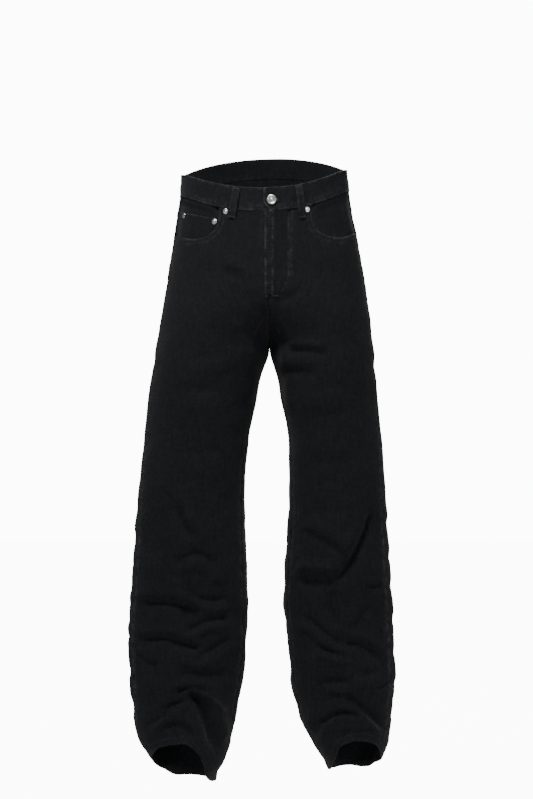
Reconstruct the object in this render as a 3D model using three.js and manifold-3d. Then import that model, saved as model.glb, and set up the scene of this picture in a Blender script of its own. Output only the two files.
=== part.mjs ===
// Straight leg jeans in black denim, hollow, standing as they are worn by a general figure.
// Millimetres, +Z up, the front faces -Y. "right" and "left" are the wearer's, so right is at -X.
// The origin is the middle of the waist, level with the middle of the waistband.
import * as THREE from "three";
import { mergeVertices } from "three/addons/utils/BufferGeometryUtils.js";
import Module from "manifold-3d";

// Cloth and gaps
const CLOTH = 1.4; // denim wall
const SEAM_GAP = 0.3; // clearance between two pieces
const HEM_HEIGHT = 13;
const HEM_EXTRA = 1.2; // how much the turned-up hem thickens the wall, inwards
const WAISTBAND_HEIGHT = 39;
const WAISTBAND_WALL = 2.4; // two layers and their turnings
const WAISTBAND_PROUD = 1.0; // how far its face stands out from the panels

// The top of the waistband dips at the front, rises at the back and leans a little to the right
const WAIST_SIDE_Z = 25;
const WAIST_DIP = { drop: 34.4, depth: 104, power: 2.4 };
const WAIST_LIFT = { rise: 37, depth: 104, power: 1.7 };
const WAIST_ROLL = 0.031;
const WAIST_HALF_WIDTH = 146;

// The fork of the legs
const CROTCH_Z = -285;
const CROTCH_X = 2.7; // the fork lies a little to the left of the fly
const RISE_CURVE = 128; // height over which the rise seams turn under
const RISE_POWER = 1.5;

// Half widths of each leg at heights z: the outer and inner edge as distances from x = 0
const OUTLINE = {
  right: [
    { z: 60, outer: 152, inner: -CROTCH_X },
    { z: 0, outer: 153.5, inner: -CROTCH_X },
    { z: -50, outer: 160, inner: -CROTCH_X },
    { z: -136, outer: 173.5, inner: -CROTCH_X },
    { z: -221, outer: 187.5, inner: -CROTCH_X },
    { z: CROTCH_Z, outer: 199, inner: -CROTCH_X },
    { z: -342, outer: 208, inner: 14 },
    { z: -380, outer: 213.5, inner: 20.5 },
    { z: -448, outer: 220, inner: 34 },
    { z: -540, outer: 230, inner: 41 },
    { z: -660, outer: 239, inner: 37.5 },
    { z: -731, outer: 244, inner: 35 },
    { z: -802, outer: 248, inner: 37.5 },
    { z: -873, outer: 244.5, inner: 44.5 },
    { z: -929, outer: 239, inner: 55.5 },
    { z: -972, outer: 230, inner: 64.5 },
    { z: -993, outer: 217, inner: 70 },
    { z: -1014, outer: 201.5, inner: 77 },
    { z: -1035, outer: 184, inner: 89 },
    { z: -1066, outer: 180, inner: 96 },
  ],
  left: [
    { z: 60, outer: 137.5, inner: CROTCH_X },
    { z: 0, outer: 141.5, inner: CROTCH_X },
    { z: -50, outer: 149.5, inner: CROTCH_X },
    { z: -136, outer: 166, inner: CROTCH_X },
    { z: -221, outer: 179.5, inner: CROTCH_X },
    { z: CROTCH_Z, outer: 187, inner: CROTCH_X },
    { z: -342, outer: 192, inner: 17.5 },
    { z: -380, outer: 195, inner: 23.5 },
    { z: -448, outer: 202, inner: 36 },
    { z: -540, outer: 208.5, inner: 37 },
    { z: -660, outer: 216, inner: 30.5 },
    { z: -731, outer: 220.5, inner: 27.5 },
    { z: -802, outer: 223.5, inner: 34.5 },
    { z: -873, outer: 225.5, inner: 40.5 },
    { z: -929, outer: 218.5, inner: 53 },
    { z: -972, outer: 214.5, inner: 73.5 },
    { z: -993, outer: 207, inner: 86 },
    { z: -1014, outer: 196, inner: 100 },
    { z: -1035, outer: 184, inner: 108 },
    { z: -1066, outer: 180, inner: 112 },
  ],
};

// Front to back: the middle of the section and how far its front and back stand from it.
// corner is the section's roundness, 2 for an ellipse and more for a squarer one.
const DEPTH = [
  { z: 60, middle: 0, front: 104, back: 104, corner: 2.25 },
  { z: -50, middle: 0, front: 108, back: 114, corner: 2.25 },
  { z: -130, middle: 0, front: 113, back: 128, corner: 2.2 },
  { z: -210, middle: 2, front: 116, back: 134, corner: 2.15 },
  { z: CROTCH_Z, middle: 8, front: 112, back: 116, corner: 2.1 },
  { z: -390, middle: 6, front: 98, back: 98, corner: 2.1 },
  { z: -520, middle: 4, front: 84, back: 82, corner: 2.1 },
  { z: -650, middle: 2, front: 71, back: 66, corner: 2.15 },
  { z: -800, middle: 0, front: 60, back: 57, corner: 2.2 },
  { z: -890, middle: 0, front: 68, back: 64, corner: 2.2 },
  { z: -940, middle: -2, front: 82, back: 70, corner: 2.15 },
  { z: -975, middle: -4, front: 94, back: 77, corner: 2.1 },
  { z: -1066, middle: -4, front: 100, back: 90, corner: 2.1 },
];

// Where the side seam and the inseam run round each section, in degrees from its outer edge
const SEAMS = [
  { z: 60, right: 4, left: 4, inseam: 180 },
  { z: -100, right: 5, left: 5, inseam: 180 },
  { z: CROTCH_Z, right: 14, left: 14, inseam: 180 },
  { z: -420, right: 21, left: 23, inseam: 164 },
  { z: -640, right: 27, left: 31, inseam: 156 },
  { z: -900, right: 26, left: 30, inseam: 158 },
  { z: -1066, right: 21, left: 23, inseam: 160 },
];

// The hem line round each leg, in degrees from the outer edge by way of the front
const HEM = {
  right: [
    { turn: -180, z: -1048 },
    { turn: -130, z: -1056 },
    { turn: -60, z: -1054 },
    { turn: -20, z: -1038 },
    { turn: 0, z: -1026 },
    { turn: 20, z: -1006 },
    { turn: 41, z: -992 },
    { turn: 63, z: -977 },
    { turn: 90, z: -970 },
    { turn: 106, z: -985 },
    { turn: 114, z: -1002 },
    { turn: 123, z: -1026 },
    { turn: 150, z: -1042 },
    { turn: 180, z: -1048 },
  ],
  left: [
    { turn: -180, z: -1029 },
    { turn: -130, z: -1038 },
    { turn: -60, z: -1038 },
    { turn: -30, z: -1033 },
    { turn: 0, z: -1016 },
    { turn: 20, z: -1005 },
    { turn: 35, z: -993 },
    { turn: 43, z: -983 },
    { turn: 55, z: -973 },
    { turn: 72, z: -966 },
    { turn: 84, z: -965 },
    { turn: 98, z: -970 },
    { turn: 109, z: -979 },
    { turn: 116, z: -991 },
    { turn: 136, z: -1010 },
    { turn: 153, z: -1022 },
    { turn: 180, z: -1029 },
  ],
};

// The largest folds, seen from the front or from the back: a trough from (x1, z1) past (xm, zm) to
// (x2, z2), its depth and half width, and the height of the ridge on the left of its run.
// A negative lip puts the ridge on the right, and a negative depth makes the line itself a ridge.
const FOLDS = {
  front: [
    { x1: -80, z1: -158, xm: -52, zm: -158, x2: -30, z2: -180, depth: 4, half: 11, lip: 4 },
    { x1: -54, z1: -178, xm: -60, zm: -215, x2: -50, z2: -248, depth: 4, half: 13, lip: 0 },
    { x1: 10, z1: -208, xm: 40, zm: -212, x2: 52, z2: -178, depth: 3, half: 11, lip: 0 },
    { x1: -2, z1: -232, xm: -8, zm: -250, x2: -20, z2: -270, depth: 5, half: 11, lip: -3 },
    { x1: -44, z1: -262, xm: -26, zm: -310, x2: -30, z2: -385, depth: -5, half: 14, lip: 0 },
    { x1: 34, z1: -294, xm: 66, zm: -290, x2: 100, z2: -300, depth: 4, half: 11, lip: 3 },
    { x1: 22, z1: -328, xm: 50, zm: -326, x2: 80, z2: -334, depth: 4, half: 13, lip: 2 },
    { x1: -152, z1: -570, xm: -150, zm: -598, x2: -132, z2: -615, depth: 4, half: 11, lip: 3 },
    { x1: -154, z1: -668, xm: -124, zm: -624, x2: -88, z2: -668, depth: 7, half: 11, lip: -5 },
    { x1: -145, z1: -700, xm: -122, zm: -732, x2: -66, z2: -724, depth: 6, half: 11, lip: -4 },
    { x1: -228, z1: -736, xm: -170, zm: -726, x2: -112, z2: -746, depth: 10, half: 13, lip: 6 },
    { x1: -143, z1: -784, xm: -112, zm: -756, x2: -62, z2: -758, depth: 6, half: 11, lip: -4 },
    { x1: -228, z1: -800, xm: -165, zm: -784, x2: -124, z2: -812, depth: 9, half: 11, lip: 5 },
    { x1: -131, z1: -834, xm: -100, zm: -810, x2: -56, z2: -778, depth: 5, half: 11, lip: -3 },
    { x1: -152, z1: -842, xm: -122, zm: -864, x2: -64, z2: -848, depth: 9, half: 14, lip: 4 },
    { x1: -160, z1: -892, xm: -146, zm: -866, x2: -100, z2: -887, depth: 6, half: 11, lip: 3 },
    { x1: -180, z1: -910, xm: -158, zm: -902, x2: -140, z2: -892, depth: 5, half: 11, lip: -5 },
    { x1: -136, z1: -893, xm: -112, zm: -915, x2: -90, z2: -970, depth: 10, half: 12, lip: 6 },
    { x1: -182, z1: -948, xm: -154, zm: -922, x2: -128, z2: -952, depth: 4, half: 11, lip: 3 },
    { x1: -222, z1: -860, xm: -205, zm: -890, x2: -188, z2: -930, depth: 5, half: 17, lip: 0 },
    { x1: 56, z1: -606, xm: 100, zm: -622, x2: 140, z2: -655, depth: 8, half: 12, lip: 6 },
    { x1: 182, z1: -556, xm: 174, zm: -622, x2: 120, z2: -700, depth: 10, half: 12, lip: -6 },
    { x1: 36, z1: -692, xm: 80, zm: -698, x2: 118, z2: -690, depth: 9, half: 13, lip: 6 },
    { x1: 120, z1: -708, xm: 106, zm: -742, x2: 120, z2: -778, depth: 6, half: 14, lip: 0 },
    { x1: 90, z1: -762, xm: 104, zm: -796, x2: 132, z2: -800, depth: 7, half: 11, lip: -5 },
    { x1: 94, z1: -802, xm: 116, zm: -822, x2: 142, z2: -818, depth: 5, half: 11, lip: -4 },
    { x1: 168, z1: -746, xm: 156, zm: -786, x2: 132, z2: -799, depth: 4, half: 11, lip: 3 },
    { x1: 134, z1: -804, xm: 158, zm: -784, x2: 198, z2: -832, depth: 6, half: 11, lip: 4 },
    { x1: 96, z1: -868, xm: 130, zm: -852, x2: 174, z2: -860, depth: 7, half: 11, lip: -5 },
    { x1: 84, z1: -876, xm: 162, zm: -884, x2: 212, z2: -970, depth: 9, half: 12, lip: -6 },
    { x1: 82, z1: -950, xm: 130, zm: -888, x2: 182, z2: -942, depth: 9, half: 11, lip: -5 },
    { x1: 70, z1: -816, xm: 86, zm: -872, x2: 72, z2: -950, depth: -5, half: 11, lip: 0 },
  ],
  back: [
    { x1: -30, z1: -262, xm: -80, zm: -286, x2: -150, z2: -282, depth: 5, half: 12, lip: -3 },
    { x1: 30, z1: -262, xm: 84, zm: -290, x2: 148, z2: -288, depth: 5, half: 12, lip: 3 },
    { x1: -40, z1: -318, xm: -90, zm: -346, x2: -160, z2: -340, depth: 5, half: 14, lip: -3 },
    { x1: 44, z1: -330, xm: 96, zm: -352, x2: 156, z2: -346, depth: 5, half: 14, lip: 3 },
    { x1: -60, z1: -588, xm: -120, zm: -618, x2: -196, z2: -596, depth: 8, half: 13, lip: -5 },
    { x1: -74, z1: -640, xm: -130, zm: -660, x2: -206, z2: -644, depth: 7, half: 13, lip: -4 },
    { x1: 60, z1: -596, xm: 120, zm: -624, x2: 186, z2: -604, depth: 8, half: 13, lip: 5 },
    { x1: 58, z1: -652, xm: 120, zm: -668, x2: 194, z2: -640, depth: 7, half: 13, lip: 4 },
    { x1: -58, z1: -742, xm: -120, zm: -722, x2: -210, z2: -752, depth: 7, half: 12, lip: -4 },
    { x1: -66, z1: -806, xm: -130, zm: -830, x2: -214, z2: -812, depth: 8, half: 12, lip: -4 },
    { x1: -70, z1: -872, xm: -140, zm: -858, x2: -208, z2: -884, depth: 7, half: 11, lip: -4 },
    { x1: -84, z1: -934, xm: -140, zm: -952, x2: -200, z2: -930, depth: 6, half: 11, lip: -3 },
    { x1: 54, z1: -744, xm: 120, zm: -760, x2: 200, z2: -738, depth: 7, half: 12, lip: 4 },
    { x1: 62, z1: -820, xm: 124, zm: -800, x2: 204, z2: -828, depth: 8, half: 12, lip: 4 },
    { x1: 70, z1: -884, xm: 130, zm: -900, x2: 206, z2: -878, depth: 7, half: 11, lip: 4 },
    { x1: 92, z1: -944, xm: 140, zm: -956, x2: 196, z2: -938, depth: 6, half: 11, lip: 3 },
  ],
};
const FOLD_TAPER = 0.22; // share of a fold's run over which each end fades
const LIP_AWAY = 1.5; // how many half widths its ridge lies from the trough

// Front pockets: the edge of each opening from the waist seam to the side seam, seen from the front
const SCOOP = {
  right: [
    { x: -86, z: -30 },
    { x: -84, z: -57 },
    { x: -86, z: -71 },
    { x: -92.5, z: -83 },
    { x: -105, z: -93 },
    { x: -127, z: -98 },
    { x: -154, z: -92 },
    { x: -180, z: -84 },
  ],
  left: [
    { x: 73, z: -30 },
    { x: 75, z: -56 },
    { x: 78, z: -72 },
    { x: 87.5, z: -85 },
    { x: 103.6, z: -93 },
    { x: 125, z: -95 },
    { x: 141, z: -90 },
    { x: 155, z: -83 },
    { x: 180, z: -76 },
  ],
};
const FACING = { inner: 50, bottom: -124 };
const COIN_POCKET = [
  { x: -153, z: -46.5 },
  { x: -76, z: -67 },
  { x: -78, z: -120 },
  { x: -150, z: -120 },
];

// Fly placket: its free edge, its stitched edge, and where its J turns in to the middle seam
const FLY_EDGE_X = -6;
const FLY_INNER_X = 39.4;
const FLY_TURN_Z = -158;
const FLY_BOTTOM_Z = -200;
const FLY_FOOT_X = 5;

// Back yoke, from the waist seam at the side and at the middle, and the patch pockets
const YOKE_SIDE = 36;
const YOKE_MIDDLE = 76;
const BACK_POCKET = [
  { x: 27, z: -75 },
  { x: 137, z: -81 },
  { x: 131, z: -213 },
  { x: 84, z: -234 },
  { x: 33, z: -208 },
];

// Belt loops, round the waist in degrees from the front, positive to the left side
const LOOP_WIDTH = 12.5;
const LOOP_WALL = 1.8;
const LOOP_SLACK = 3; // room behind a loop for a belt
const LOOPS = [
  { name: "belt_loop_front_right", turn: -17.7, below: 15, drift: -6 },
  { name: "belt_loop_front_left", turn: 18.8, below: 19, drift: 4.5 },
  { name: "belt_loop_side_right", turn: -104, below: 12, drift: 0 },
  { name: "belt_loop_side_left", turn: 104, below: 12, drift: 0 },
  { name: "belt_loop_back", turn: 180, below: 12, drift: 0 },
];

// Waistband ends, button and rivets
const TAB_END_X = -7.8;
const TAB_RAMP_X = [33, 46]; // the left end steps out between these to lie over the right end
const UNDERLAP_X = 31;
const UNDERLAP_RAMP_X = [-30, -10]; // the right end steps in between these
const LAP_STEP = 1.35; // how far each end steps, half of a band's wall and a gap
const BUTTON = { x: 6.2, z: -32.6, radius: 8.5, shank: 2.6 };
const BUTTONHOLE = { x: 7.1, radius: 3.3, length: 18 };
const RIVET = { radius: 4.8, height: 1.5 };
const RIVETS = [
  { name: "rivet_pocket_right", x: -72.9, z: -52.1, layer: "panel" },
  { name: "rivet_pocket_left", x: 67.2, z: -48.7, layer: "panel" },
  { name: "rivet_coin_outer", x: -148.8, z: -54, layer: "coin" },
  { name: "rivet_coin_inner", x: -93, z: -69, layer: "coin" },
];

const DENIM = new THREE.MeshStandardMaterial({ color: 0x1b1d20, roughness: 0.92, metalness: 0 });
const METAL = new THREE.MeshStandardMaterial({ color: 0xb9bab8, roughness: 0.35, metalness: 1 });

const rad = THREE.MathUtils.degToRad;
const clamp01 = (t) => Math.min(1, Math.max(0, t));
const ease = (t) => clamp01(t) ** 2 * (3 - 2 * clamp01(t));
const mix = (a, b, t) => a + (b - a) * t;

// A smooth run through a table's rows, with no overshoot between them.
function track(rows, at, column) {
  const sorted = [...rows].sort((a, b) => a[at] - b[at]);
  const x = sorted.map((row) => row[at]);
  const y = sorted.map((row) => row[column]);
  const last = x.length - 1;
  const rise = x.slice(1).map((next, i) => (y[i + 1] - y[i]) / (next - x[i]));
  const slope = x.map((_, i) => {
    if (i === 0) return rise[0];
    if (i === last) return rise[last - 1];
    if (rise[i - 1] * rise[i] <= 0) return 0;
    return (2 * rise[i - 1] * rise[i]) / (rise[i - 1] + rise[i]);
  });
  return (value) => {
    const v = Math.min(x[last], Math.max(x[0], value));
    let i = 0;
    while (i < last - 1 && v > x[i + 1]) i += 1;
    const span = x[i + 1] - x[i];
    const t = (v - x[i]) / span;
    return (
      y[i] * (1 + 2 * t) * (1 - t) ** 2 +
      slope[i] * span * t * (1 - t) ** 2 +
      y[i + 1] * t * t * (3 - 2 * t) +
      slope[i + 1] * span * t * t * (t - 1)
    );
  };
}

const SIDES = { right: -1, left: 1 };
const nameOf = (side) => (side < 0 ? "right" : "left");
const outline = {};
const hemLine = {};
for (const name of Object.keys(SIDES)) {
  outline[name] = {
    outer: track(OUTLINE[name], "z", "outer"),
    inner: track(OUTLINE[name], "z", "inner"),
  };
  hemLine[name] = track(HEM[name], "turn", "z");
}
const depth = {
  middle: track(DEPTH, "z", "middle"),
  front: track(DEPTH, "z", "front"),
  back: track(DEPTH, "z", "back"),
  corner: track(DEPTH, "z", "corner"),
};
const sideSeam = { "-1": track(SEAMS, "z", "right"), 1: track(SEAMS, "z", "left") };
const inseam = track(SEAMS, "z", "inseam");

// The section of one leg, or of one half of the body above the fork.
function section(side, z) {
  const { outer, inner } = outline[nameOf(side)];
  const middleX = CROTCH_X * ease((-150 - z) / (-150 - CROTCH_Z));
  const corner = depth.corner(z);
  if (z <= CROTCH_Z) {
    const half = (outer(z) - inner(z)) / 2;
    const centre = (side * (outer(z) + inner(z))) / 2 + (side * SEAM_GAP) / 2;
    return { half, centre, corner, end: 180 };
  }
  const share = clamp01((z - CROTCH_Z) / RISE_CURVE);
  const lap = (1 - share ** RISE_POWER) ** RISE_POWER;
  const reach = outer(z) - side * middleX - SEAM_GAP / 2;
  const half = reach / (1 + lap);
  const centre = middleX + side * (SEAM_GAP / 2 + lap * half);
  const end = THREE.MathUtils.radToDeg(Math.acos(-(lap ** (corner / 2))));
  return { half, centre, corner, end };
}

const power = (value, exponent) => Math.sign(value) * Math.abs(value) ** exponent;

// A point on the plain cloth, at an angle round the section: 0 is its outer edge, 90 its front.
function plainPoint(side, turn, z) {
  const { half, centre, corner } = section(side, z);
  const across = power(Math.cos(rad(turn)), 2 / corner);
  const forward = power(Math.sin(rad(turn)), 2 / corner);
  const reach = forward > 0 ? depth.front(z) : depth.back(z);
  return new THREE.Vector3(centre + side * half * across, depth.middle(z) - reach * forward, z);
}

function normalOf(side, turn, z, pointAt) {
  const dTurn = pointAt(side, turn + 0.7, z).sub(pointAt(side, turn - 0.7, z));
  const dz = pointAt(side, turn, z + 1.5).sub(pointAt(side, turn, z - 1.5));
  return dTurn.cross(dz).multiplyScalar(-side).normalize();
}

// How far the folds push the cloth out or in at a point seen from the front or back.
function foldAt(x, z, face) {
  let push = 0;
  for (const f of FOLDS[face]) {
    if (Math.max(f.z1, f.zm, f.z2) + 45 < z || Math.min(f.z1, f.zm, f.z2) - 45 > z) continue;
    let best = { away: Infinity };
    const steps = 16;
    for (let i = 0; i <= steps; i += 1) {
      const t = i / steps;
      const px = (1 - t) ** 2 * f.x1 + 2 * t * (1 - t) * f.xm + t * t * f.x2;
      const pz = (1 - t) ** 2 * f.z1 + 2 * t * (1 - t) * f.zm + t * t * f.z2;
      const away = Math.hypot(x - px, z - pz);
      if (away < best.away) {
        const tx = 2 * (1 - t) * (f.xm - f.x1) + 2 * t * (f.x2 - f.xm);
        const tz = 2 * (1 - t) * (f.zm - f.z1) + 2 * t * (f.z2 - f.zm);
        const run = Math.hypot(tx, tz);
        best = { away, t, left: ((x - px) * -tz + (z - pz) * tx) / run };
        best.past = ((x - px) * tx + (z - pz) * tz) / run;
      }
    }
    const fade = ease((best.t + 0.06) / FOLD_TAPER) * ease((1.06 - best.t) / FOLD_TAPER);
    const beyond = best.t === 0 || best.t === 1 ? Math.exp(-((best.past / f.half) ** 2)) : 1;
    const trough = Math.exp(-((best.left / f.half) ** 2));
    const lipSide = Math.sign(f.lip) * best.left;
    const lip = Math.exp(-((lipSide / f.half - LIP_AWAY) ** 2));
    push += fade * beyond * (Math.abs(f.lip) * lip - f.depth * trough);
  }
  return push;
}

// The folded cloth face.
function clothPoint(side, turn, z) {
  const p = plainPoint(side, turn, z);
  const facing = Math.sin(rad(turn));
  const face = facing > 0 ? "front" : "back";
  const shown = ease((Math.abs(facing) - 0.08) / 0.4);
  if (shown === 0) return p;
  const push = shown * foldAt(p.x, z, face);
  return p.addScaledVector(normalOf(side, turn, z, plainPoint), push);
}

// A point above (out > 0) or below the folded face.
function offsetPoint(side, turn, z, out) {
  const p = clothPoint(side, turn, z);
  return p.addScaledVector(normalOf(side, turn, z, clothPoint), out);
}

// The angle at which the section has a given x, on its front or its back.
function turnAt(side, x, z, face) {
  const { half, centre, corner } = section(side, z);
  const across = Math.max(-1, Math.min(1, (side * (x - centre)) / half));
  const turn = THREE.MathUtils.radToDeg(Math.acos(power(across, corner / 2)));
  return face === "front" ? turn : -turn;
}

// A closed wall from two grids of points: its outer face and its inner face.
function wall(across, down, at) {
  const position = [];
  for (const face of [0, 1]) {
    for (let j = 0; j <= down; j += 1) {
      for (let i = 0; i <= across; i += 1) {
        position.push(...at(i / across, j / down, i, j)[face].toArray());
      }
    }
  }
  const index = [];
  const layer = (across + 1) * (down + 1);
  const id = (face, i, j) => face * layer + j * (across + 1) + i;
  const quad = (a, b, c, d) => index.push(a, b, c, a, c, d);
  for (let j = 0; j < down; j += 1) {
    for (let i = 0; i < across; i += 1) {
      quad(id(0, i, j), id(0, i, j + 1), id(0, i + 1, j + 1), id(0, i + 1, j));
      quad(id(1, i, j), id(1, i + 1, j), id(1, i + 1, j + 1), id(1, i, j + 1));
    }
  }
  for (let j = 0; j < down; j += 1) {
    quad(id(0, 0, j), id(1, 0, j), id(1, 0, j + 1), id(0, 0, j + 1));
    quad(id(0, across, j), id(0, across, j + 1), id(1, across, j + 1), id(1, across, j));
  }
  for (let i = 0; i < across; i += 1) {
    quad(id(0, i, 0), id(0, i + 1, 0), id(1, i + 1, 0), id(1, i, 0));
    quad(id(0, i, down), id(1, i, down), id(1, i + 1, down), id(0, i + 1, down));
  }
  return facingOut(geometryOf(position, index));
}

function geometryOf(position, index) {
  const geometry = new THREE.BufferGeometry();
  geometry.setAttribute("position", new THREE.Float32BufferAttribute(position, 3));
  geometry.setIndex(index);
  return geometry;
}

function volumeOf(geometry) {
  const p = geometry.getAttribute("position");
  const index = geometry.index.array;
  const corner = (k) => new THREE.Vector3().fromBufferAttribute(p, index[k]);
  let sum = 0;
  for (let k = 0; k < index.length; k += 3) {
    sum += corner(k).dot(corner(k + 1).cross(corner(k + 2)));
  }
  return sum / 6;
}

function facingOut(geometry) {
  if (volumeOf(geometry) > 0) return geometry;
  const index = geometry.index.array;
  for (let k = 0; k < index.length; k += 3) [index[k], index[k + 1]] = [index[k + 1], index[k]];
  return geometry;
}

const wasm = await Module();
wasm.setup();

function solidOf(geometry) {
  const plain = geometry.clone();
  plain.deleteAttribute("normal");
  plain.deleteAttribute("uv");
  const merged = mergeVertices(plain, 1e-4);
  return new wasm.Manifold(
    new wasm.Mesh({
      numProp: 3,
      vertProperties: merged.attributes.position.array,
      triVerts: new Uint32Array(merged.index.array),
    }),
  );
}

function geometryFrom(solid) {
  const mesh = solid.getMesh();
  return geometryOf(Array.from(mesh.vertProperties), Array.from(mesh.triVerts));
}

const garment = new THREE.Group();
garment.name = "straight_leg_jeans";

function add(name, geometry, material = DENIM) {
  geometry.computeVertexNormals();
  const mesh = new THREE.Mesh(geometry, material);
  mesh.name = name;
  garment.add(mesh);
}

function waistLine(p) {
  const level = WAIST_SIDE_Z + WAIST_ROLL * p.x;
  if (p.y < 0) return level - WAIST_DIP.drop * (-p.y / WAIST_DIP.depth) ** WAIST_DIP.power;
  return level + WAIST_LIFT.rise * (p.y / WAIST_LIFT.depth) ** WAIST_LIFT.power;
}

// The height at which a point of the plain cloth is so far below the waist line.
function waistZ(side, turn, below) {
  let z = -below;
  for (let pass = 0; pass < 5; pass += 1) {
    const p = plainPoint(side, turn, z);
    z = waistLine(p) - below;
  }
  return z;
}

const waistSeam = (side, turn) => waistZ(side, turn, WAISTBAND_HEIGHT);

function yokeSeam(side, turn) {
  const share = Math.sin(rad(Math.max(0, -turn)));
  return waistZ(side, turn, WAISTBAND_HEIGHT + mix(YOKE_SIDE, YOKE_MIDDLE, share));
}

// The heights of a panel's rows, from its top line to the hem. The rows are closest at the fork,
// where the rise seams turn under, and below the knee, where the folds are.
const LEVEL_Z = -150;
const KNEE_Z = -560;
const ANKLE_Z = -900;
function rowHeights(rows) {
  const list = [];
  for (let k = 0; k < rows.top; k += 1) list.push({ fromTop: k / rows.top });
  for (let k = rows.fork; k > 0; k -= 1) list.push({ z: mix(CROTCH_Z, LEVEL_Z, (k / rows.fork) ** 2) });
  for (let k = 0; k < rows.thigh; k += 1) list.push({ z: mix(CROTCH_Z, KNEE_Z, (k / rows.thigh) ** 1.2) });
  for (let k = 0; k < rows.shin; k += 1) list.push({ z: mix(KNEE_Z, ANKLE_Z, k / rows.shin) });
  for (let k = 0; k < rows.ankle; k += 1) list.push({ toHem: k / rows.ankle });
  list.push({ hem: HEM_HEIGHT }, { hem: HEM_HEIGHT - 0.8, thick: true }, { hem: 0, thick: true });
  return list;
}

function heightOf(row, top, hem) {
  if (row.fromTop !== undefined) return mix(top, LEVEL_Z, row.fromTop);
  if (row.toHem !== undefined) return mix(ANKLE_Z, hem + HEM_HEIGHT, row.toHem);
  if (row.hem !== undefined) return hem + row.hem;
  return row.z;
}

// One leg panel, or the layer that lies from out to out - thickness on its points. ends gives the
// angles of its two long edges at a height, and last is the number of its last row.
function legPanel(side, panel, out = 0, thickness = CLOTH, last = Infinity) {
  const heights = rowHeights(ROWS);
  const count = Math.min(last, heights.length - 1);
  return wall(panel.across, count, (u, _v, _i, j) => {
    const row = heights[j];
    let turn = 0;
    let z = CROTCH_Z;
    for (let pass = 0; pass < 3; pass += 1) {
      const [from, to] = panel.ends(side, z);
      turn = mix(from, to, u);
      z = heightOf(row, panel.top(side, turn), hemLine[nameOf(side)](hemTurn(turn)));
    }
    const inward = thickness + (row.thick ? HEM_EXTRA : 0);
    return [offsetPoint(side, turn, z, out), offsetPoint(side, turn, z, out - inward)];
  });
}

const hemTurn = (turn) => (turn < -180 ? turn + 360 : turn);

// Half a seam's gap, as degrees round the section.
const GAP_TURN = 0.12;
const forkEnd = (side, z) => section(side, z).end;

const ROWS = { top: 4, fork: 7, thigh: 8, shin: 24, ankle: 8 };
const FRONT = {
  across: 16,
  top: (side, turn) => waistSeam(side, turn) - SEAM_GAP,
  ends: (side, z) => [
    sideSeam[side](z) + GAP_TURN,
    z > CROTCH_Z ? forkEnd(side, z) : inseam(z) - GAP_TURN,
  ],
};
const BACK = {
  across: 11,
  top: (side, turn) => yokeSeam(side, turn) - SEAM_GAP / 2,
  ends: (side, z) => [
    sideSeam[side](z) - GAP_TURN,
    z > CROTCH_Z ? -forkEnd(side, z) : inseam(z) - 360 + GAP_TURN,
  ],
};

// A prism along Y between two depths, from an outline seen from the front.
function prism(points, yFrom, yTo) {
  const shape = new THREE.Shape(points.map((p) => new THREE.Vector2(p.x, p.z)));
  const solid = new THREE.ExtrudeGeometry(shape, { depth: yTo - yFrom, bevelEnabled: false });
  solid.rotateX(Math.PI / 2);
  solid.translate(0, yTo, 0);
  return solidOf(solid);
}

// The prism that cuts the opening of a front pocket out of a front panel.
function scoopCutter(side) {
  const rows = SCOOP[nameOf(side)];
  const curve = new THREE.SplineCurve(rows.map((p) => new THREE.Vector2(p.x, p.z)));
  const edge = curve.getPoints(22).map((p) => ({ x: p.x, z: p.y }));
  edge.push({ x: side * 190, z: 60 }, { x: rows[0].x, z: 60 });
  return prism(edge, -180, 120);
}

// A layer on a panel's own points, kept inside an outline seen from the front.
function patch(side, panel, out, thickness, last, points, yFrom, yTo) {
  const layer = solidOf(legPanel(side, panel, out, thickness, last));
  return geometryFrom(layer.intersect(prism(points, yFrom, yTo)));
}

const LAYER = CLOTH + SEAM_GAP;
const TO_LEVEL = ROWS.top + 1;
const TO_FORK = ROWS.top + ROWS.fork - 1;

for (const side of [-1, 1]) {
  const name = nameOf(side);
  const front = solidOf(legPanel(side, FRONT));
  add(`front_${name}`, geometryFrom(front.subtract(scoopCutter(side))));
  add(`back_${name}`, legPanel(side, BACK));

  add(`yoke_${name}`, wall(BACK.across, 3, (u, v) => {
    let z = -20;
    let turn = 0;
    for (let pass = 0; pass < 4; pass += 1) {
      const [from, to] = BACK.ends(side, z);
      turn = mix(from, to, u);
      z = mix(waistSeam(side, turn) - SEAM_GAP, yokeSeam(side, turn) + SEAM_GAP / 2, v);
    }
    return [offsetPoint(side, turn, z, 0), offsetPoint(side, turn, z, -CLOTH)];
  }));

  // The facing shows through the opening, and on the right the coin pocket lies on it.
  const facingOut = side < 0 ? -2 * LAYER : -LAYER;
  const facing = [
    { x: side * FACING.inner, z: 60 },
    { x: side * 260, z: 60 },
    { x: side * 260, z: FACING.bottom },
    { x: side * FACING.inner, z: FACING.bottom },
  ];
  add(`pocket_facing_${name}`, patch(side, FRONT, facingOut, CLOTH, TO_LEVEL, facing, -180, 60));

  const pocket = BACK_POCKET.map((p) => ({ x: side * p.x, z: p.z }));
  add(`back_pocket_${name}`, patch(side, BACK, LAYER, CLOTH, TO_FORK, pocket, 0, 180));
}

add("coin_pocket", patch(-1, FRONT, -LAYER, CLOTH, TO_LEVEL, COIN_POCKET, -180, 0));

// The placket lies over the middle seam, so it takes each point from the side that it is on.
function frontPoint(x, z, out) {
  const side = x < 0 ? -1 : 1;
  return offsetPoint(side, turnAt(side, x, z, "front"), z, out);
}

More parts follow.
